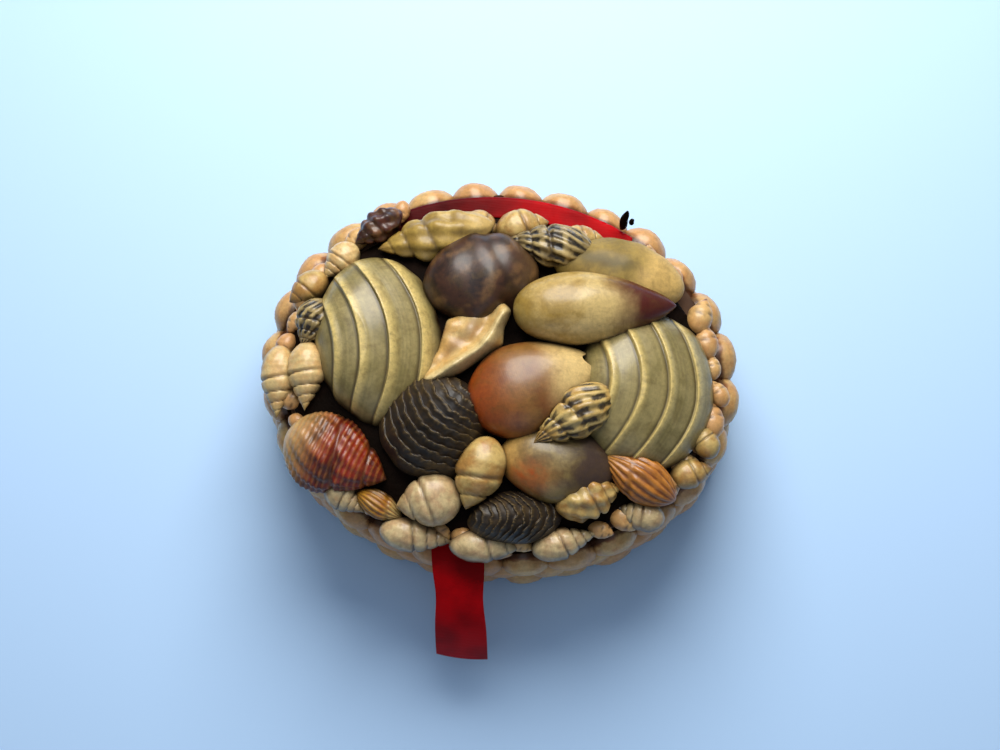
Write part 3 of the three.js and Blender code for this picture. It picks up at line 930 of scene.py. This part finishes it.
LID_SHELLS = [
    LidShell("conch_cream", CONCH, CREAM, (37, 16.5, 15), (0.4, 0.37), 3.8, 9, -5),
    LidShell("nassa_speckled", BARRED, SPECKLED, (21.5, 10.5, 10), (0.35, -0.26), 5.4, -139, 3),
    LidShell("lip_cream", LIP_SHARD, SHARD, (27, 12, 7.5), (-0.17, 0.06), 4.6, -140, -6),
    LidShell("conch_orange", BROKEN_CONCH, ORANGE, (31, 21.5, 16), (0.16, -0.11), 1.6, 25, -2),
    LidShell("nassa_banded", BARRED, BANDED, (20.5, 9.5, 9), (0.16, 0.71), 3.2, 180, 0),
    LidShell("clam_left", CLAM_LEFT, OLIVE_CLAM, (29, 39, 10), (-0.56, 0.07), -1.2, 14, 5),
    LidShell("clam_right", CLAM_RIGHT, OLIVE_CLAM, (32, 37, 10), (0.66, -0.05), -1.6, 0, -5),
    LidShell("conch_purple", BUBBLE, PURPLE, (26.5, 21, 15), (-0.13, 0.48), 1.2, 17, 0),
    LidShell("conch_olive", LIPPED_CONCH, OLIVE, (31, 16.5, 12.5), (0.49, 0.59), 1.4, -7, -4),
    LidShell("dove_cream", DOVE, PALE, (17, 11, 9.5), (-0.04, -0.62), 3.4, -104, -8),
    LidShell("whelk_ribbed", FLUTED, OCHRE, (19, 10, 9), (0.68, -0.54), 2.2, 155, 8),
    LidShell("whelk_red", CORDED, RED, (25, 17.5, 13), (-0.69, -0.6), 1.4, -19, 4),
    LidShell("bivalve_dark", SCALED, DARK, (24.5, 23.5, 10), (-0.27, -0.38), -0.6, -128, 4),
    LidShell("whelk_ochre", KNOBBLY, PALE, (15.5, 9.5, 8.5), (0.46, -0.68), 1.8, 25, 0),
    LidShell("conch_beige", PATCHED, BEIGE, (27, 18, 12.5), (0.31, -0.51), 0.8, -2, -4),
    LidShell("bivalve_dark_b", SCALED, DARK, (21.5, 12, 7), (0.14, -0.83), -0.4, 8, 0),
    LidShell("moon_white", DOVE, WHITE, (15, 12, 9.5), (-0.25, -0.79), 2.0, -162, 0),
    LidShell("murex_olive", KNOBBLY, MUREX, (27, 10.5, 9), (-0.36, 0.7), 2.0, -162, -4),
    LidShell("cerith_brown", KNOBBLY, BROWN, (13, 7, 7), (-0.63, 0.73), 2.4, -138, 0),
    LidShell("nassa_cream", WHELK, CONE, (11, 7, 6.5), (-0.79, 0.51), 1.6, -128, 0),
    LidShell("dove_beige", DOVE, PALE, (10.5, 7, 6.5), (-0.92, 0.34), 1.4, -136, 0),
    LidShell("nassa_grey", BARRED, BANDED, (12, 8.2, 7.5), (-0.87, 0.13), 2.4, -108, 0),
    LidShell("nassa_cone_a", WHELK, CONE, (16, 8.6, 7.8), (-0.87, -0.17), 1.4, -86, 0),
    LidShell("nassa_cone_b", WHELK, CONE, (17, 8, 7.2), (-1.0, -0.21), 1.2, -86, 0),
    LidShell("whelk_yellow", FLUTED, YELLOW, (12, 6, 6), (-0.47, -0.84), 1.6, -24, 0),
    LidShell("whelk_white_a", WHELK, WHITE, (11, 6.5, 6), (-0.63, -0.82), 1.2, -30, 0),
    LidShell("whelk_mint", WHELK, WHITE, (17, 7.6, 7), (-0.29, -0.985), 1.2, -4, 0),
    LidShell("whelk_white_b", DOVE, WHITE, (16, 7.4, 7), (0.02, -1.0), 1.0, 5, 0),
    LidShell("whelk_white_c", WHELK, WHITE, (15.5, 7, 6.5), (0.38, -0.93), 1.2, 23, 0),
    LidShell("whelk_grey", WHELK, WHITE, (11.5, 7, 6.5), (0.7, -0.73), 1.2, 170, 0),
    LidShell("dove_right", DOVE, PALE, (10, 6.6, 6), (0.915, -0.47), 1.2, 20, 0),
    LidShell("dove_right_b", DOVE, PALE, (8.5, 6, 6), (0.965, -0.28), 1.0, 120, 0),
    LidShell("dove_top", DOVE, PALE, (12.5, 8.4, 7), (0.03, 0.82), 0.8, 18, 0),
    LidShell("dove_top_b", DOVE, PALE, (10.5, 7, 6.5), (0.31, 0.78), 1.0, 9, 0),
    LidShell("dove_pink", DOVE, PALE, (8.5, 6, 6), (-0.15, 0.81), 0.6, -26, 0),
    LidShell("dove_corner", DOVE, PALE, (12, 6, 6), (0.6, 0.72), 0.4, -20, 0),
]


def finished(piece: bpy.types.Object, body: str, nodes: tuple[str, ...]) -> bpy.types.Object:
    """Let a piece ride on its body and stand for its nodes.

    Args:
        piece: The object, in place.
        body: The body that it moves with.
        nodes: The frame's nodes that it stands for.

    Returns:
        The same object.
    """
    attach(piece, body)
    if nodes:
        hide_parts(*nodes)
    LOG.info("%s on %s: %d faces", piece.name, body, len(piece.data.polygons))
    return piece


@dataclass
class Oval:
    """The box's oval, in millimetres, read from the frame."""

    half_length: float = field(init=False)
    half_width: float = field(init=False)

    def __post_init__(self) -> None:
        """Read the card wall's size."""
        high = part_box("box_body")[1]
        self.half_length, self.half_width = high.x / MM, high.y / MM

    def ring(self, outward: float, count: int, start: float = 0.0) -> tuple[np.ndarray, np.ndarray]:
        """Space points evenly along the oval at an offset.

        Args:
            outward: Distance outside the card wall.
            count: How many points.
            start: The first point's place, as a share of the spacing.

        Returns:
            The points and the outward directions, two numbers each.
        """
        a, b = self.half_length + outward, self.half_width + outward
        angle = np.linspace(0, 2 * math.pi, 4001)
        run = distances(np.stack([a * np.cos(angle), b * np.sin(angle)], 1))
        at = np.interp((np.arange(count) + start) / count * run[-1], run, angle)
        points = np.stack([a * np.cos(at), b * np.sin(at)], 1)
        out = np.stack([np.cos(at) / a, np.sin(at) / b], 1)
        return points, out / np.linalg.norm(out, axis=1, keepdims=True)

    def length(self, outward: float) -> float:
        """Length of the oval at an offset."""
        points = self.ring(outward, 2000)[0]
        return float(distances(np.vstack([points, points[:1]]))[-1])


@dataclass
class SideShells:
    """The three rows of small coquina valves, with the brown glue that they sit in.

    Columns and rings are how fine a valve is. Growth lines, rays and beak taper are its relief, and
    fullness the power of its dome. Smallest and largest are shares of its width, height and depth
    between which each valve falls, and most_turn is in radians. Glue_mm is how far the glue stands out
    from the wall.
    """

    oval: Oval
    rows: tuple[str, ...] = ("side_shells_lower", "side_shells_middle", "side_shells_upper")
    columns: int = 30
    rings: int = 16
    growth_lines: float = 3.5
    rays: int = 9
    beak_taper: float = 0.16
    fullness: float = 0.8
    line_weight: float = 0.2
    lump: float = 0.03
    lump_mm: float = 6.0
    smallest: tuple[float, float, float] = (1.0, 1.0, 0.88)
    largest: tuple[float, float, float] = (1.16, 1.08, 1.0)
    most_turn: float = 0.35
    glue_mm: float = 1.7

    def build(self) -> None:
        """Build each row and the glue."""
        for index, node in enumerate(self.rows):
            self._row(index, node)
        self._glue()

    def _row(self, index: int, node: str) -> None:
        """Set one row of valves on the glue line.

        Args:
            index: The row's number, from below.
            node: The fused row in the frame that it takes the place of.
        """
        low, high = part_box(node)
        depth = high.x / MM - self.oval.half_length - GLUE_LINE
        path = self.oval.length(GLUE_LINE)
        count = round(path / SIDE_SHELL_WIDTH)
        half_across = path / count * SIDE_OVERLAP / 2
        middle, half_up = (low.z + high.z) / 2 / MM, (high.z - low.z) / 2 / MM
        middle += half_up * ROW_OVERLAP * (1 if index == 0 else -1)
        half_up *= 1 + ROW_OVERLAP
        feet, outs = self.oval.ring(GLUE_LINE, count, 0.5 * (index % 2))
        random = np.random.default_rng(40 + index)
        valves = []
        for number, (foot, out) in enumerate(zip(feet, outs)):
            scale = random.uniform(self.smallest, self.largest)
            surface = self._valve(half_across * scale[0], half_up * scale[1], depth * scale[2],
                                  1000 * index + number,
                                  random.uniform(-self.most_turn, self.most_turn))
            x, y, z = (surface.points[..., i] for i in range(3))
            surface.points = np.stack([foot[0] + out[0] * x - out[1] * y,
                                       foot[1] + out[1] * x + out[0] * y, middle + z], -1)
            surface.marks["tint"] = np.full(x.shape, random.uniform(0, 1) ** 1.5)
            valves.append(surface)
        finished(solid_object(node + "_valves", valves, SIDE.material()), "box", (node,))

    def _valve(self, half_across: float, half_up: float, depth: float, seed: int, turn: float) -> Surface:
        """Shape one domed valve, its back on the plane x = 0 and its beak upwards.

        Args:
            half_across: Half its width in millimetres.
            half_up: Half its height.
            depth: How far it stands out.
            seed: Seed of its unevenness.
            turn: How far it is turned, in radians.

        Returns:
            The closed surface with its marks.
        """
        lean = np.linspace(0, math.pi / 2, self.rings)[:, None]
        angle = around(self.columns)
        share = np.sin(lean)
        line = np.cos(2 * math.pi * (self.growth_lines * share ** 1.4 + 0.02 * seed % 1))
        rays = np.cos(self.rays * angle) * share * (1 - share ** 8)
        out = depth * np.cos(lean) ** self.fullness * (1 + 0.02 * line * share + 0.02 * rays)
        narrow = 1 - self.beak_taper * np.sin(angle) * share
        across = half_across * share * np.cos(angle) * narrow
        up = half_up * (share * np.sin(angle) * 0.97 + BEAK_RISE * np.cos(lean) ** 2)
        points = np.stack([out, across, up], -1)
        points *= (1 + self.lump * ripple(points, self.lump_mm, seed))[..., None]
        points[..., 1], points[..., 2] = turned(points[..., 1], points[..., 2], turn)
        points[..., 0] = np.clip(points[..., 0], 0, depth)
        points[..., 2] = np.clip(points[..., 2], -half_up, half_up * 1.03)
        ones = np.ones((2, self.columns))
        # Painted shade: the crevice mark darkens each valve's rim, where it meets its neighbours and the
        # glue, and its back
        marks = {
            "crevice": np.concatenate([smooth(share, 0.975, 1.0) + 0 * angle, ones]),
            "pattern": np.concatenate([smooth(-line, 0.0, 0.9) + 0 * angle, 0 * ones]) * self.line_weight,
            "along": np.concatenate([share ** 2 + 0 * angle, ones]),
        }
        return Surface(with_back(points, 0, -0.1), marks)

    def _glue(self) -> None:
        """Lay the brown glue between the wall and the valves, as a lumpy skin."""
        count, levels = 320, 24
        wall_gap, below, above = 0.15, 0.3, 2.2
        low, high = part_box(self.rows[0])[0].z / MM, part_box(self.rows[-1])[1].z / MM
        feet, outs = self.oval.ring(wall_gap, count)
        height = np.linspace(low + below, high - above, levels)
        rows = []
        for level in height:
            place = np.column_stack([feet, np.full(count, level)])
            bulge = self.glue_mm + 0.5 * ripple(place, 7.0, 3) + 0.2 * ripple(place, 2.5, 4)
            rows.append(np.column_stack([feet + outs * bulge[:, None], place[:, 2]]))
        inner = [np.column_stack([feet, np.full(count, level)]) for level in (height[-1], height[0])]
        grid = np.stack([*rows, *inner])
        index = np.arange(len(grid) * count).reshape(-1, count)
        faces = quads(np.pad(index, ((0, 1), (0, 1)), mode="wrap"))
        glue = mesh_object("side_glue", grid.reshape(-1, 3), faces, SIDE_GLUE.material())
        finished(glue, "box", ())


@dataclass
class LidTop:
    """The mound of glue and the shells set in it, sizes and places in millimetres.

    The rim's tiny shells stand on a ring inset from the wall, each moved, scaled, turned and lifted
    within those ranges. Strip_shows is the stretch of the back rim that has none, so that the cloth
    strip shows. Thorn is the foot and the tip of the broken stalk. Lumps are the wavelength and the
    depth of each swell in the mound. Each shell takes the dark glue colour over its lowest foot_mm,
    unevenly by smear_mm: glue that climbs it, and painted shade where it meets the mound.
    """

    oval: Oval
    rim_count: int = 46
    rim_missing: float = 0.06
    rim_size: tuple[float, float, float] = (7.6, 5.0, 4.4)
    rim_lift: float = 1.5
    rim_inset: float = 0.7
    rim_moved: tuple[float, float] = (-1.2, 0.9)
    rim_scaled: tuple[float, float] = (0.75, 1.2)
    rim_turned: float = 1.1
    rim_lifted: tuple[float, float] = (-0.3, 0.5)
    rim_tint: float = 0.8
    strip_shows: tuple[float, float] = (-21.0, 31.0)
    thorn: tuple[tuple[float, float, float], ...] = ((24.2, 36.2, 33.6), (25.0, 38.9, 40.5))
    lumps: tuple[tuple[float, float], ...] = ((9.0, 0.7), (3.0, 0.25))
    foot_mm: float = 3.4
    smear_mm: float = 0.8

    def __post_init__(self) -> None:
        """Read the mound's size from the frame."""
        low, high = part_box("lid_bed")
        self.half_length = (high.x - low.x) / 2 / MM
        self.half_width = (high.y - low.y) / 2 / MM
        self.middle = (high.y + low.y) / 2 / MM
        self.bottom, self.top = low.z / MM, high.z / MM
        self.slots = {item["node"]: item["material_slot"] for item in frame["record"]["subparts"]}

    def bed_height(self, x: float, y: float) -> float:
        """Give the height of the mound over a place on the lid.

        Args:
            x: Place along the oval's length, in millimetres.
            y: Place across it.

        Returns:
            The height above the table, in millimetres.
        """
        share = math.hypot(x / self.half_length, (y - self.middle) / self.half_width)
        crown = self.top - self.bottom - BED_RIM
        return self.bottom + BED_RIM + crown * math.sqrt(max(0.0, 1 - share * share))

    def build(self) -> None:
        """Build the mound, then every shell in its place, and the tiny ones round the rim."""
        self._mound()
        materials: dict[str, bpy.types.Material] = {}
        for number, shell in enumerate(LID_SHELLS):
            name = shell.finish.name
            if name not in materials:
                materials[name] = shell.finish.material()
            self._shell(shell, materials[name], 100 + 7 * number)
        self._rim()
        self._thorn()

    def _rim(self) -> None:
        """Fill the rim between the big shells and the board's edge with tiny cream shells."""
        random = np.random.default_rng(8)
        feet, outs = self.oval.ring(-self.rim_inset, self.rim_count)
        shells = []
        for number, (foot, out) in enumerate(zip(feet, outs)):
            if foot[1] > 0 and self.strip_shows[0] < foot[0] < self.strip_shows[1]:
                continue
            if random.random() < self.rim_missing:
                continue
            foot = foot + out * random.uniform(*self.rim_moved)
            size = np.array(self.rim_size) * random.uniform(*self.rim_scaled)
            surface = RIM_SHELL.surface(size, 500 + number)
            askew = random.uniform(-self.rim_turned, self.rim_turned)
            heading = math.atan2(out[1], out[0]) + math.pi / 2 + askew
            x, y, z = (surface.points[..., i] for i in range(3))
            x, y = turned(x, y, heading)
            lift = self.bottom + self.rim_lift + random.uniform(*self.rim_lifted)
            z = np.maximum(z + lift, self.bottom - SUNK)
            surface.points = np.stack([x + foot[0], y + foot[1], z], -1)
            surface.marks["tint"] = np.full(x.shape, random.uniform(0, self.rim_tint))
            shells.append(surface)
        finished(solid_object("rim_shells", shells, SIDE.material()), "lid", ())

    def _thorn(self) -> None:
        """Stand the dark end of a stalk on the strip's right end, with a bead of glue beside it."""
        columns, rows, knobs, unevenness = 14, 18, 9, 0.15
        angle = around(columns)
        bits = []
        foot, tip = np.array(self.thorn[0]), np.array(self.thorn[1])
        bead = (foot + [2.0, 1.6, -0.4], foot + [2.4, 2.3, 0.9], 0.6)
        for start, end, thick in ((foot, tip, 0.95), bead):
            share = np.linspace(0, 1, rows)[:, None]
            swell = np.sin(np.pi * share ** 0.7) ** 0.6
            radius = thick * swell * (1 + unevenness * np.sin(knobs * share + angle))
            line = start + (end - start) * share
            points = np.stack([line[:, :1] + radius * np.cos(angle), line[:, 1:2] + radius * np.sin(angle),
                               line[:, 2:] + 0 * radius], -1)
            bits.append(Surface(points))
        finished(solid_object("broken_stalk", bits, BED_GLUE.material()), "lid", ())

    def _mound(self) -> None:
        """Shape the mound: a low rim and a flat dome, with lumps that stay inside its solid."""
        columns, rows = 160, 50
        angle = around(columns)
        rise = np.linspace(0, math.pi / 2, rows)[::-1][:, None]
        crown = self.top - self.bottom - BED_RIM
        ring = np.cos(rise) + 0 * angle
        height = self.bottom + BED_RIM + crown * np.sin(rise) + 0 * angle
        ring = np.concatenate([ring, ring[-1:], ring[-1:] * 0])
        height = np.concatenate([height, np.full((2, columns), self.bottom)])
        points = np.stack([self.half_length * ring * np.cos(angle),
                           self.middle + self.half_width * ring * np.sin(angle), height], -1)
        lump = sum(depth * np.abs(ripple(points, wave, 11 + number))
                   for number, (wave, depth) in enumerate(self.lumps))
        inner = np.clip(1 - ring, 0, 1)
        points[..., 2] -= np.where(points[..., 2] > self.bottom + 0.5, lump * (0.3 + inner), 0)
        mound = solid_object("glue_mound", [Surface(points)], BED_GLUE.material())
        finished(mound, "lid", ("lid_bed",))

    def _shell(self, shell: LidShell, material: bpy.types.Material, seed: int) -> None:
        """Shape one shell and set it in the mound.

        Args:
            shell: Its form, size, place and finish.
            material: The finish's material.
            seed: Seed of its unevenness.
        """
        surface = shell.form.surface(shell.size, seed)
        x, y, z = (surface.points[..., i] for i in range(3))
        x, z = turned(x, z, math.radians(shell.pitch))
        x, y = turned(x, y, math.radians(shell.heading))
        foot = (shell.at[0] * self.oval.half_length, shell.at[1] * self.oval.half_width)
        lift = self.bed_height(*foot) + shell.lift
        surface.points = np.stack([x + foot[0], y + foot[1], z + lift], -1)
        # Mark each shell's lowest part for the dark glue colour: glue, and painted shade where it meets the
        # mound
        bed = np.vectorize(self.bed_height)(surface.points[..., 0], surface.points[..., 1])
        smear = self.smear_mm * ripple(surface.points, 5.0, seed + 2)
        surface.marks["foot"] = 1 - smooth(surface.points[..., 2] - bed + smear, 0.0, self.foot_mm)
        surface.points[..., 2] = np.maximum(surface.points[..., 2], self.bottom - SUNK)
        piece = solid_object(shell.node + "_shell", [surface], material)
        finished(piece, "lid", (shell.node,))


@dataclass
class Cloth:
    """The satin: the hinge strip, the pull ribbon, and the linings of box and lid, in millimetres."""

    oval: Oval
    strip_thick: float = 0.25
    thickness: float = 0.3
    floor_pad: float = 1.4
    gathers: int = 80
    gather_mm: float = 0.5

    def build(self) -> None:
        """Build each piece of satin."""
        self._hinge()
        self._ribbon()
        self._box_lining()
        self._lid_pad()

    def _hinge(self) -> None:
        """Lay the strip on the lid board, over its back edge and down behind the wall."""
        low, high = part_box("hinge_cloth")
        half = high.x / MM - 0.1
        top, bottom = high.z / MM - 0.2, low.z / MM + 0.1
        outer, bend = CLOTH_GAP + 0.2, 0.9
        profile = [(-HINGE_FLAP + 0.1, top)]
        profile += [(outer - bend + bend * math.sin(t), top - bend + bend * math.cos(t))
                    for t in np.linspace(0, math.pi / 2, 7)]
        profile += [(outer, level) for level in np.linspace(top - 1.2, bottom, 22)]
        flap = np.linspace(0, 1, 14)[1:-1]
        profile[1:1] = [(profile[0][0] + (profile[1][0] - profile[0][0]) * s, top) for s in flap]
        offsets, levels = np.array(profile).T
        across = np.linspace(-half, half, 120)
        a, b = self.oval.half_length, self.oval.half_width
        grid = np.zeros((len(offsets), len(across), 3))
        for row, (offset, level) in enumerate(zip(offsets, levels)):
            grid[row, :, 0] = across
            grid[row, :, 1] = (b + offset) * np.sqrt(1 - (across / (a + offset)) ** 2)
            grid[row, :, 2] = level
        slack = np.sin(np.pi * smooth(levels, top - 4.6, top - 1.0))
        grid[..., 1] += slack[:, None] * (0.35 + 0.3 * ripple(grid, 5.0, 22))
        crease = 0.12 * np.sin(across / 2.3) + 0.1 * ripple(grid, 6.0, 21)
        grid[..., 2] -= np.abs(crease) * (levels > top - 1)[:, None]
        cloth = sheet_object("hinge_strip", grid, STRIP_SATIN.material(), self.strip_thick)
        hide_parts("hinge_cloth")
        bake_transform(cloth)

    def _ribbon(self) -> None:
        """Hang the ribbon: tucked under the lid's front edge, over the side shells and down."""
        low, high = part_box("pull_ribbon")
        start_y, end_y = high.y / MM, low.y / MM
        top, bottom = high.z / MM - 0.2, low.z / MM
        front = -self.oval.half_width
        reach = front - end_y
        ends = np.array([[front - GLUE_LINE - 2.9, top], [front - reach * 0.55, top - 0.4],
                         [front - reach * 0.85, top - (top - bottom) * 0.5], [end_y + 0.2, bottom + 0.1]])
        t = np.linspace(0, 1, 50)[:, None]
        curve = ((1 - t) ** 3 * ends[0] + 3 * (1 - t) ** 2 * t * ends[1]
                 + 3 * (1 - t) * t ** 2 * ends[2] + t ** 3 * ends[3])
        tuck = np.linspace([start_y, top], ends[0], 14)[:-1]
        line = np.vstack([tuck, curve])
        across = np.linspace(-0.5, 0.5, 30)
        slant = (high.x - low.x) / MM - RIBBON_WIDTH
        left = low.x / MM
        grid = np.zeros((len(line), len(across), 3))
        out = np.clip((front - line[:, 0]) / reach, 0, 1)
        middle = left + RIBBON_WIDTH / 2 + slant * out
        waist = 1 - 0.10 * np.exp(-((out - 0.5) / 0.2) ** 2)
        bow = smooth(out, 0.15, 0.6) * (1 - 0.5 * smooth(out, 0.7, 1.0))
        grid[..., 0] = middle[:, None] + RIBBON_WIDTH * waist[:, None] * across[None, :]
        grid[..., 1] = line[:, :1] + 0.9 * bow[:, None] * (4 * across ** 2 - 0.3)[None, :]
        grid[..., 2] = line[:, 1:] + 0.5 * bow[:, None] * (4 * across ** 2 - 0.5)[None, :]
        ribbon = sheet_object("satin_pull_ribbon", grid, SATIN.material(), self.thickness)
        finished(ribbon, "lid", ("pull_ribbon",))

    def _box_lining(self) -> None:
        """Line the box: gathered satin round the wall, and a thin padded floor."""
        low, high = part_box("box_lining")
        count, levels = 640, 20
        inward = -(WALL + CLOTH_GAP + LINING / 2)
        feet, outs = self.oval.ring(inward, count)
        heights = np.linspace(low.z / MM + 0.4, high.z / MM - 0.2, levels)
        gathers = self.gather_mm * np.sin(np.arange(count) * 2 * math.pi * self.gathers / count)
        rows = []
        for level in heights:
            place = np.column_stack([feet, np.full(count, level)])
            pinch = math.sin(math.pi * (level - heights[0]) / (heights[-1] - heights[0])) ** 0.4
            fold = gathers * (0.35 + 0.25 * ripple(place, 14.0, 31)) * pinch
            fold += 0.12 * ripple(place, 5.0, 32)
            rows.append(np.column_stack([feet + outs * fold[:, None], np.full(count, level)]))
        grid = np.stack(rows)
        grid = np.concatenate([grid, grid[:, :1]], axis=1)
        lining = sheet_object("wall_lining", grid, DARK_SATIN.material(), self.thickness)
        finished(lining, "box", ("box_lining",))
        inset = WALL + CLOTH_GAP + LINING + 0.2
        floor = self._pad("floor_pad", inset, low.z / MM, low.z / MM + self.floor_pad, 41)
        finished(floor, "box", ())

    def _lid_pad(self) -> None:
        """Pad the underside of the lid."""
        low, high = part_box("lid_lining")
        inset = self.oval.half_length - high.x / MM + 0.1
        pad = self._pad("lid_pad", inset, high.z / MM, low.z / MM, 51)
        finished(pad, "lid", ("lid_lining",))

    def _pad(self, name: str, inset: float, back: float, face: float, seed: int) -> bpy.types.Object:
        """Shape a thin oval pad of satin.

        Args:
            name: The object's name.
            inset: How far its edge is inside the card wall's outer face.
            back: Height of its flat back.
            face: Height of its crowned face, above or below the back.
            seed: Seed of its wrinkles.

        Returns:
            The pad.
        """
        columns, rows = 160, 40
        a, b = self.oval.half_length - inset, self.oval.half_width - inset
        angle = around(columns)
        ring = np.sin(np.linspace(0, math.pi / 2, rows))[:, None] + 0 * angle
        x, y = a * ring * np.cos(angle), b * ring * np.sin(angle)
        flat = np.stack([x, y, 0 * x], -1)
        crown = np.clip(1 - ring ** 6, 0, 1) ** 0.5 * (0.86 + 0.14 * ripple(flat, 16.0, seed))
        pucker = 0.08 * np.sin(angle * 48) * smooth(ring, 0.75, 0.95)
        rise = np.clip(crown + pucker * crown, 0, 1)
        top = np.stack([x, y, back + (face - back) * rise], -1)
        grid = with_back(top, 2, back)
        grid[-2, :, :2] *= 0.995
        if face < back:
            grid = grid[:, ::-1]
        return solid_object(name, [Surface(grid)], DARK_SATIN.material())


@dataclass
class Card:
    """The card of box and lid, which keep the frame's own shapes."""

    def dress(self) -> None:
        """Give both cards their finish."""
        material = GreyBoard().material()
        for node in ("box_body", "lid_board"):
            piece = frame["nodes"][node]
            piece.data.materials.clear()
            piece.data.materials.append(material)
            LOG.info("%s keeps its own shape", node)


@dataclass
class Studio:
    """The pale floor, the soft lights and the camera at the photograph's angle, in metres."""

    elevation: float = 80.0
    azimuth: float = 6.3
    distance: float = 0.5
    lens: float = 77.4
    shift: float = 0.0035
    target: tuple[float, float, float] = (0.0, 0.0, 0.024)
    floor: str = "#bbdcff"
    floor_half: float = 1.5
    room: str = "#cfe0f5"
    room_strength: float = 0.22

    def build(self) -> None:
        """Build camera, floor and lights."""
        self._camera()
        self._floor()
        self._lights()

    def _camera(self) -> None:
        """Place the camera, looking down from the front."""
        camera = bpy.data.objects.new("camera", bpy.data.cameras.new("camera"))
        bpy.context.scene.collection.objects.link(camera)
        rise, turn = math.radians(self.elevation), math.radians(self.azimuth)
        away = Vector((math.sin(turn) * math.cos(rise), -math.cos(turn) * math.cos(rise), math.sin(rise)))
        camera.location = Vector(self.target) + away * self.distance
        camera.rotation_euler = (math.pi / 2 - rise, 0, turn)
        camera.data.lens = self.lens
        camera.data.sensor_width = 36.0
        camera.data.shift_y = self.shift
        camera.data.clip_start = 0.01
        bpy.context.scene.camera = camera

    def _floor(self) -> None:
        """Lay a wide, pale, slightly soft table top."""
        material = bpy.data.materials.new("pale_table")
        material.use_nodes = True
        shader = material.node_tree.nodes["Principled BSDF"]
        shader.inputs["Base Color"].default_value = linear(self.floor)
        shader.inputs["Roughness"].default_value = 0.6
        half = self.floor_half
        mesh = bpy.data.meshes.new("floor")
        mesh.from_pydata([(-half, -half, 0), (half, -half, 0), (half, half, 0), (-half, half, 0)], [],
                         [(0, 1, 2, 3)])
        floor = bpy.data.objects.new("floor", mesh)
        floor.data.materials.append(material)
        bpy.context.scene.collection.objects.link(floor)

    def _lights(self) -> None:
        """Light from behind and above, with a soft fill from the front."""
        lamps = (
            ("window", (-0.02, 0.25, 0.31), 0.32, 2.15, "#fffdf8"),
            ("sky", (-0.2, 0.1, 1.3), 1.2, 1.7, "#e6f0ff"),
            ("front_fill", (0.1, -0.9, 0.6), 0.8, 0.75, "#dfe8ff"),
        )
        for name, place, size, power, colour in lamps:
            lamp = bpy.data.lights.new(name, "AREA")
            lamp.shape = "DISK"
            lamp.size = size
            lamp.energy = power
            lamp.color = linear(colour)[:3]
            light = bpy.data.objects.new(name, lamp)
            light.location = place
            light.visible_camera = False
            light.rotation_euler = (Vector(self.target) - Vector(place)).to_track_quat("-Z", "Y").to_euler()
            bpy.context.scene.collection.objects.link(light)
        world = bpy.data.worlds.new("room")
        world.use_nodes = True
        background = world.node_tree.nodes["Background"]
        background.inputs["Color"].default_value = linear(self.room)
        background.inputs["Strength"].default_value = self.room_strength
        bpy.context.scene.world = world
        bpy.context.scene.view_settings.view_transform = "Standard"


def main() -> None:
    """Build the whole object and its surroundings."""
    logging.basicConfig(level=logging.INFO, format="%(message)s")
    Studio().build()
    oval = Oval()
    Card().dress()
    SideShells(oval).build()
    LidTop(oval).build()
    Cloth(oval).build()


if __name__ == "__main__":
    main()
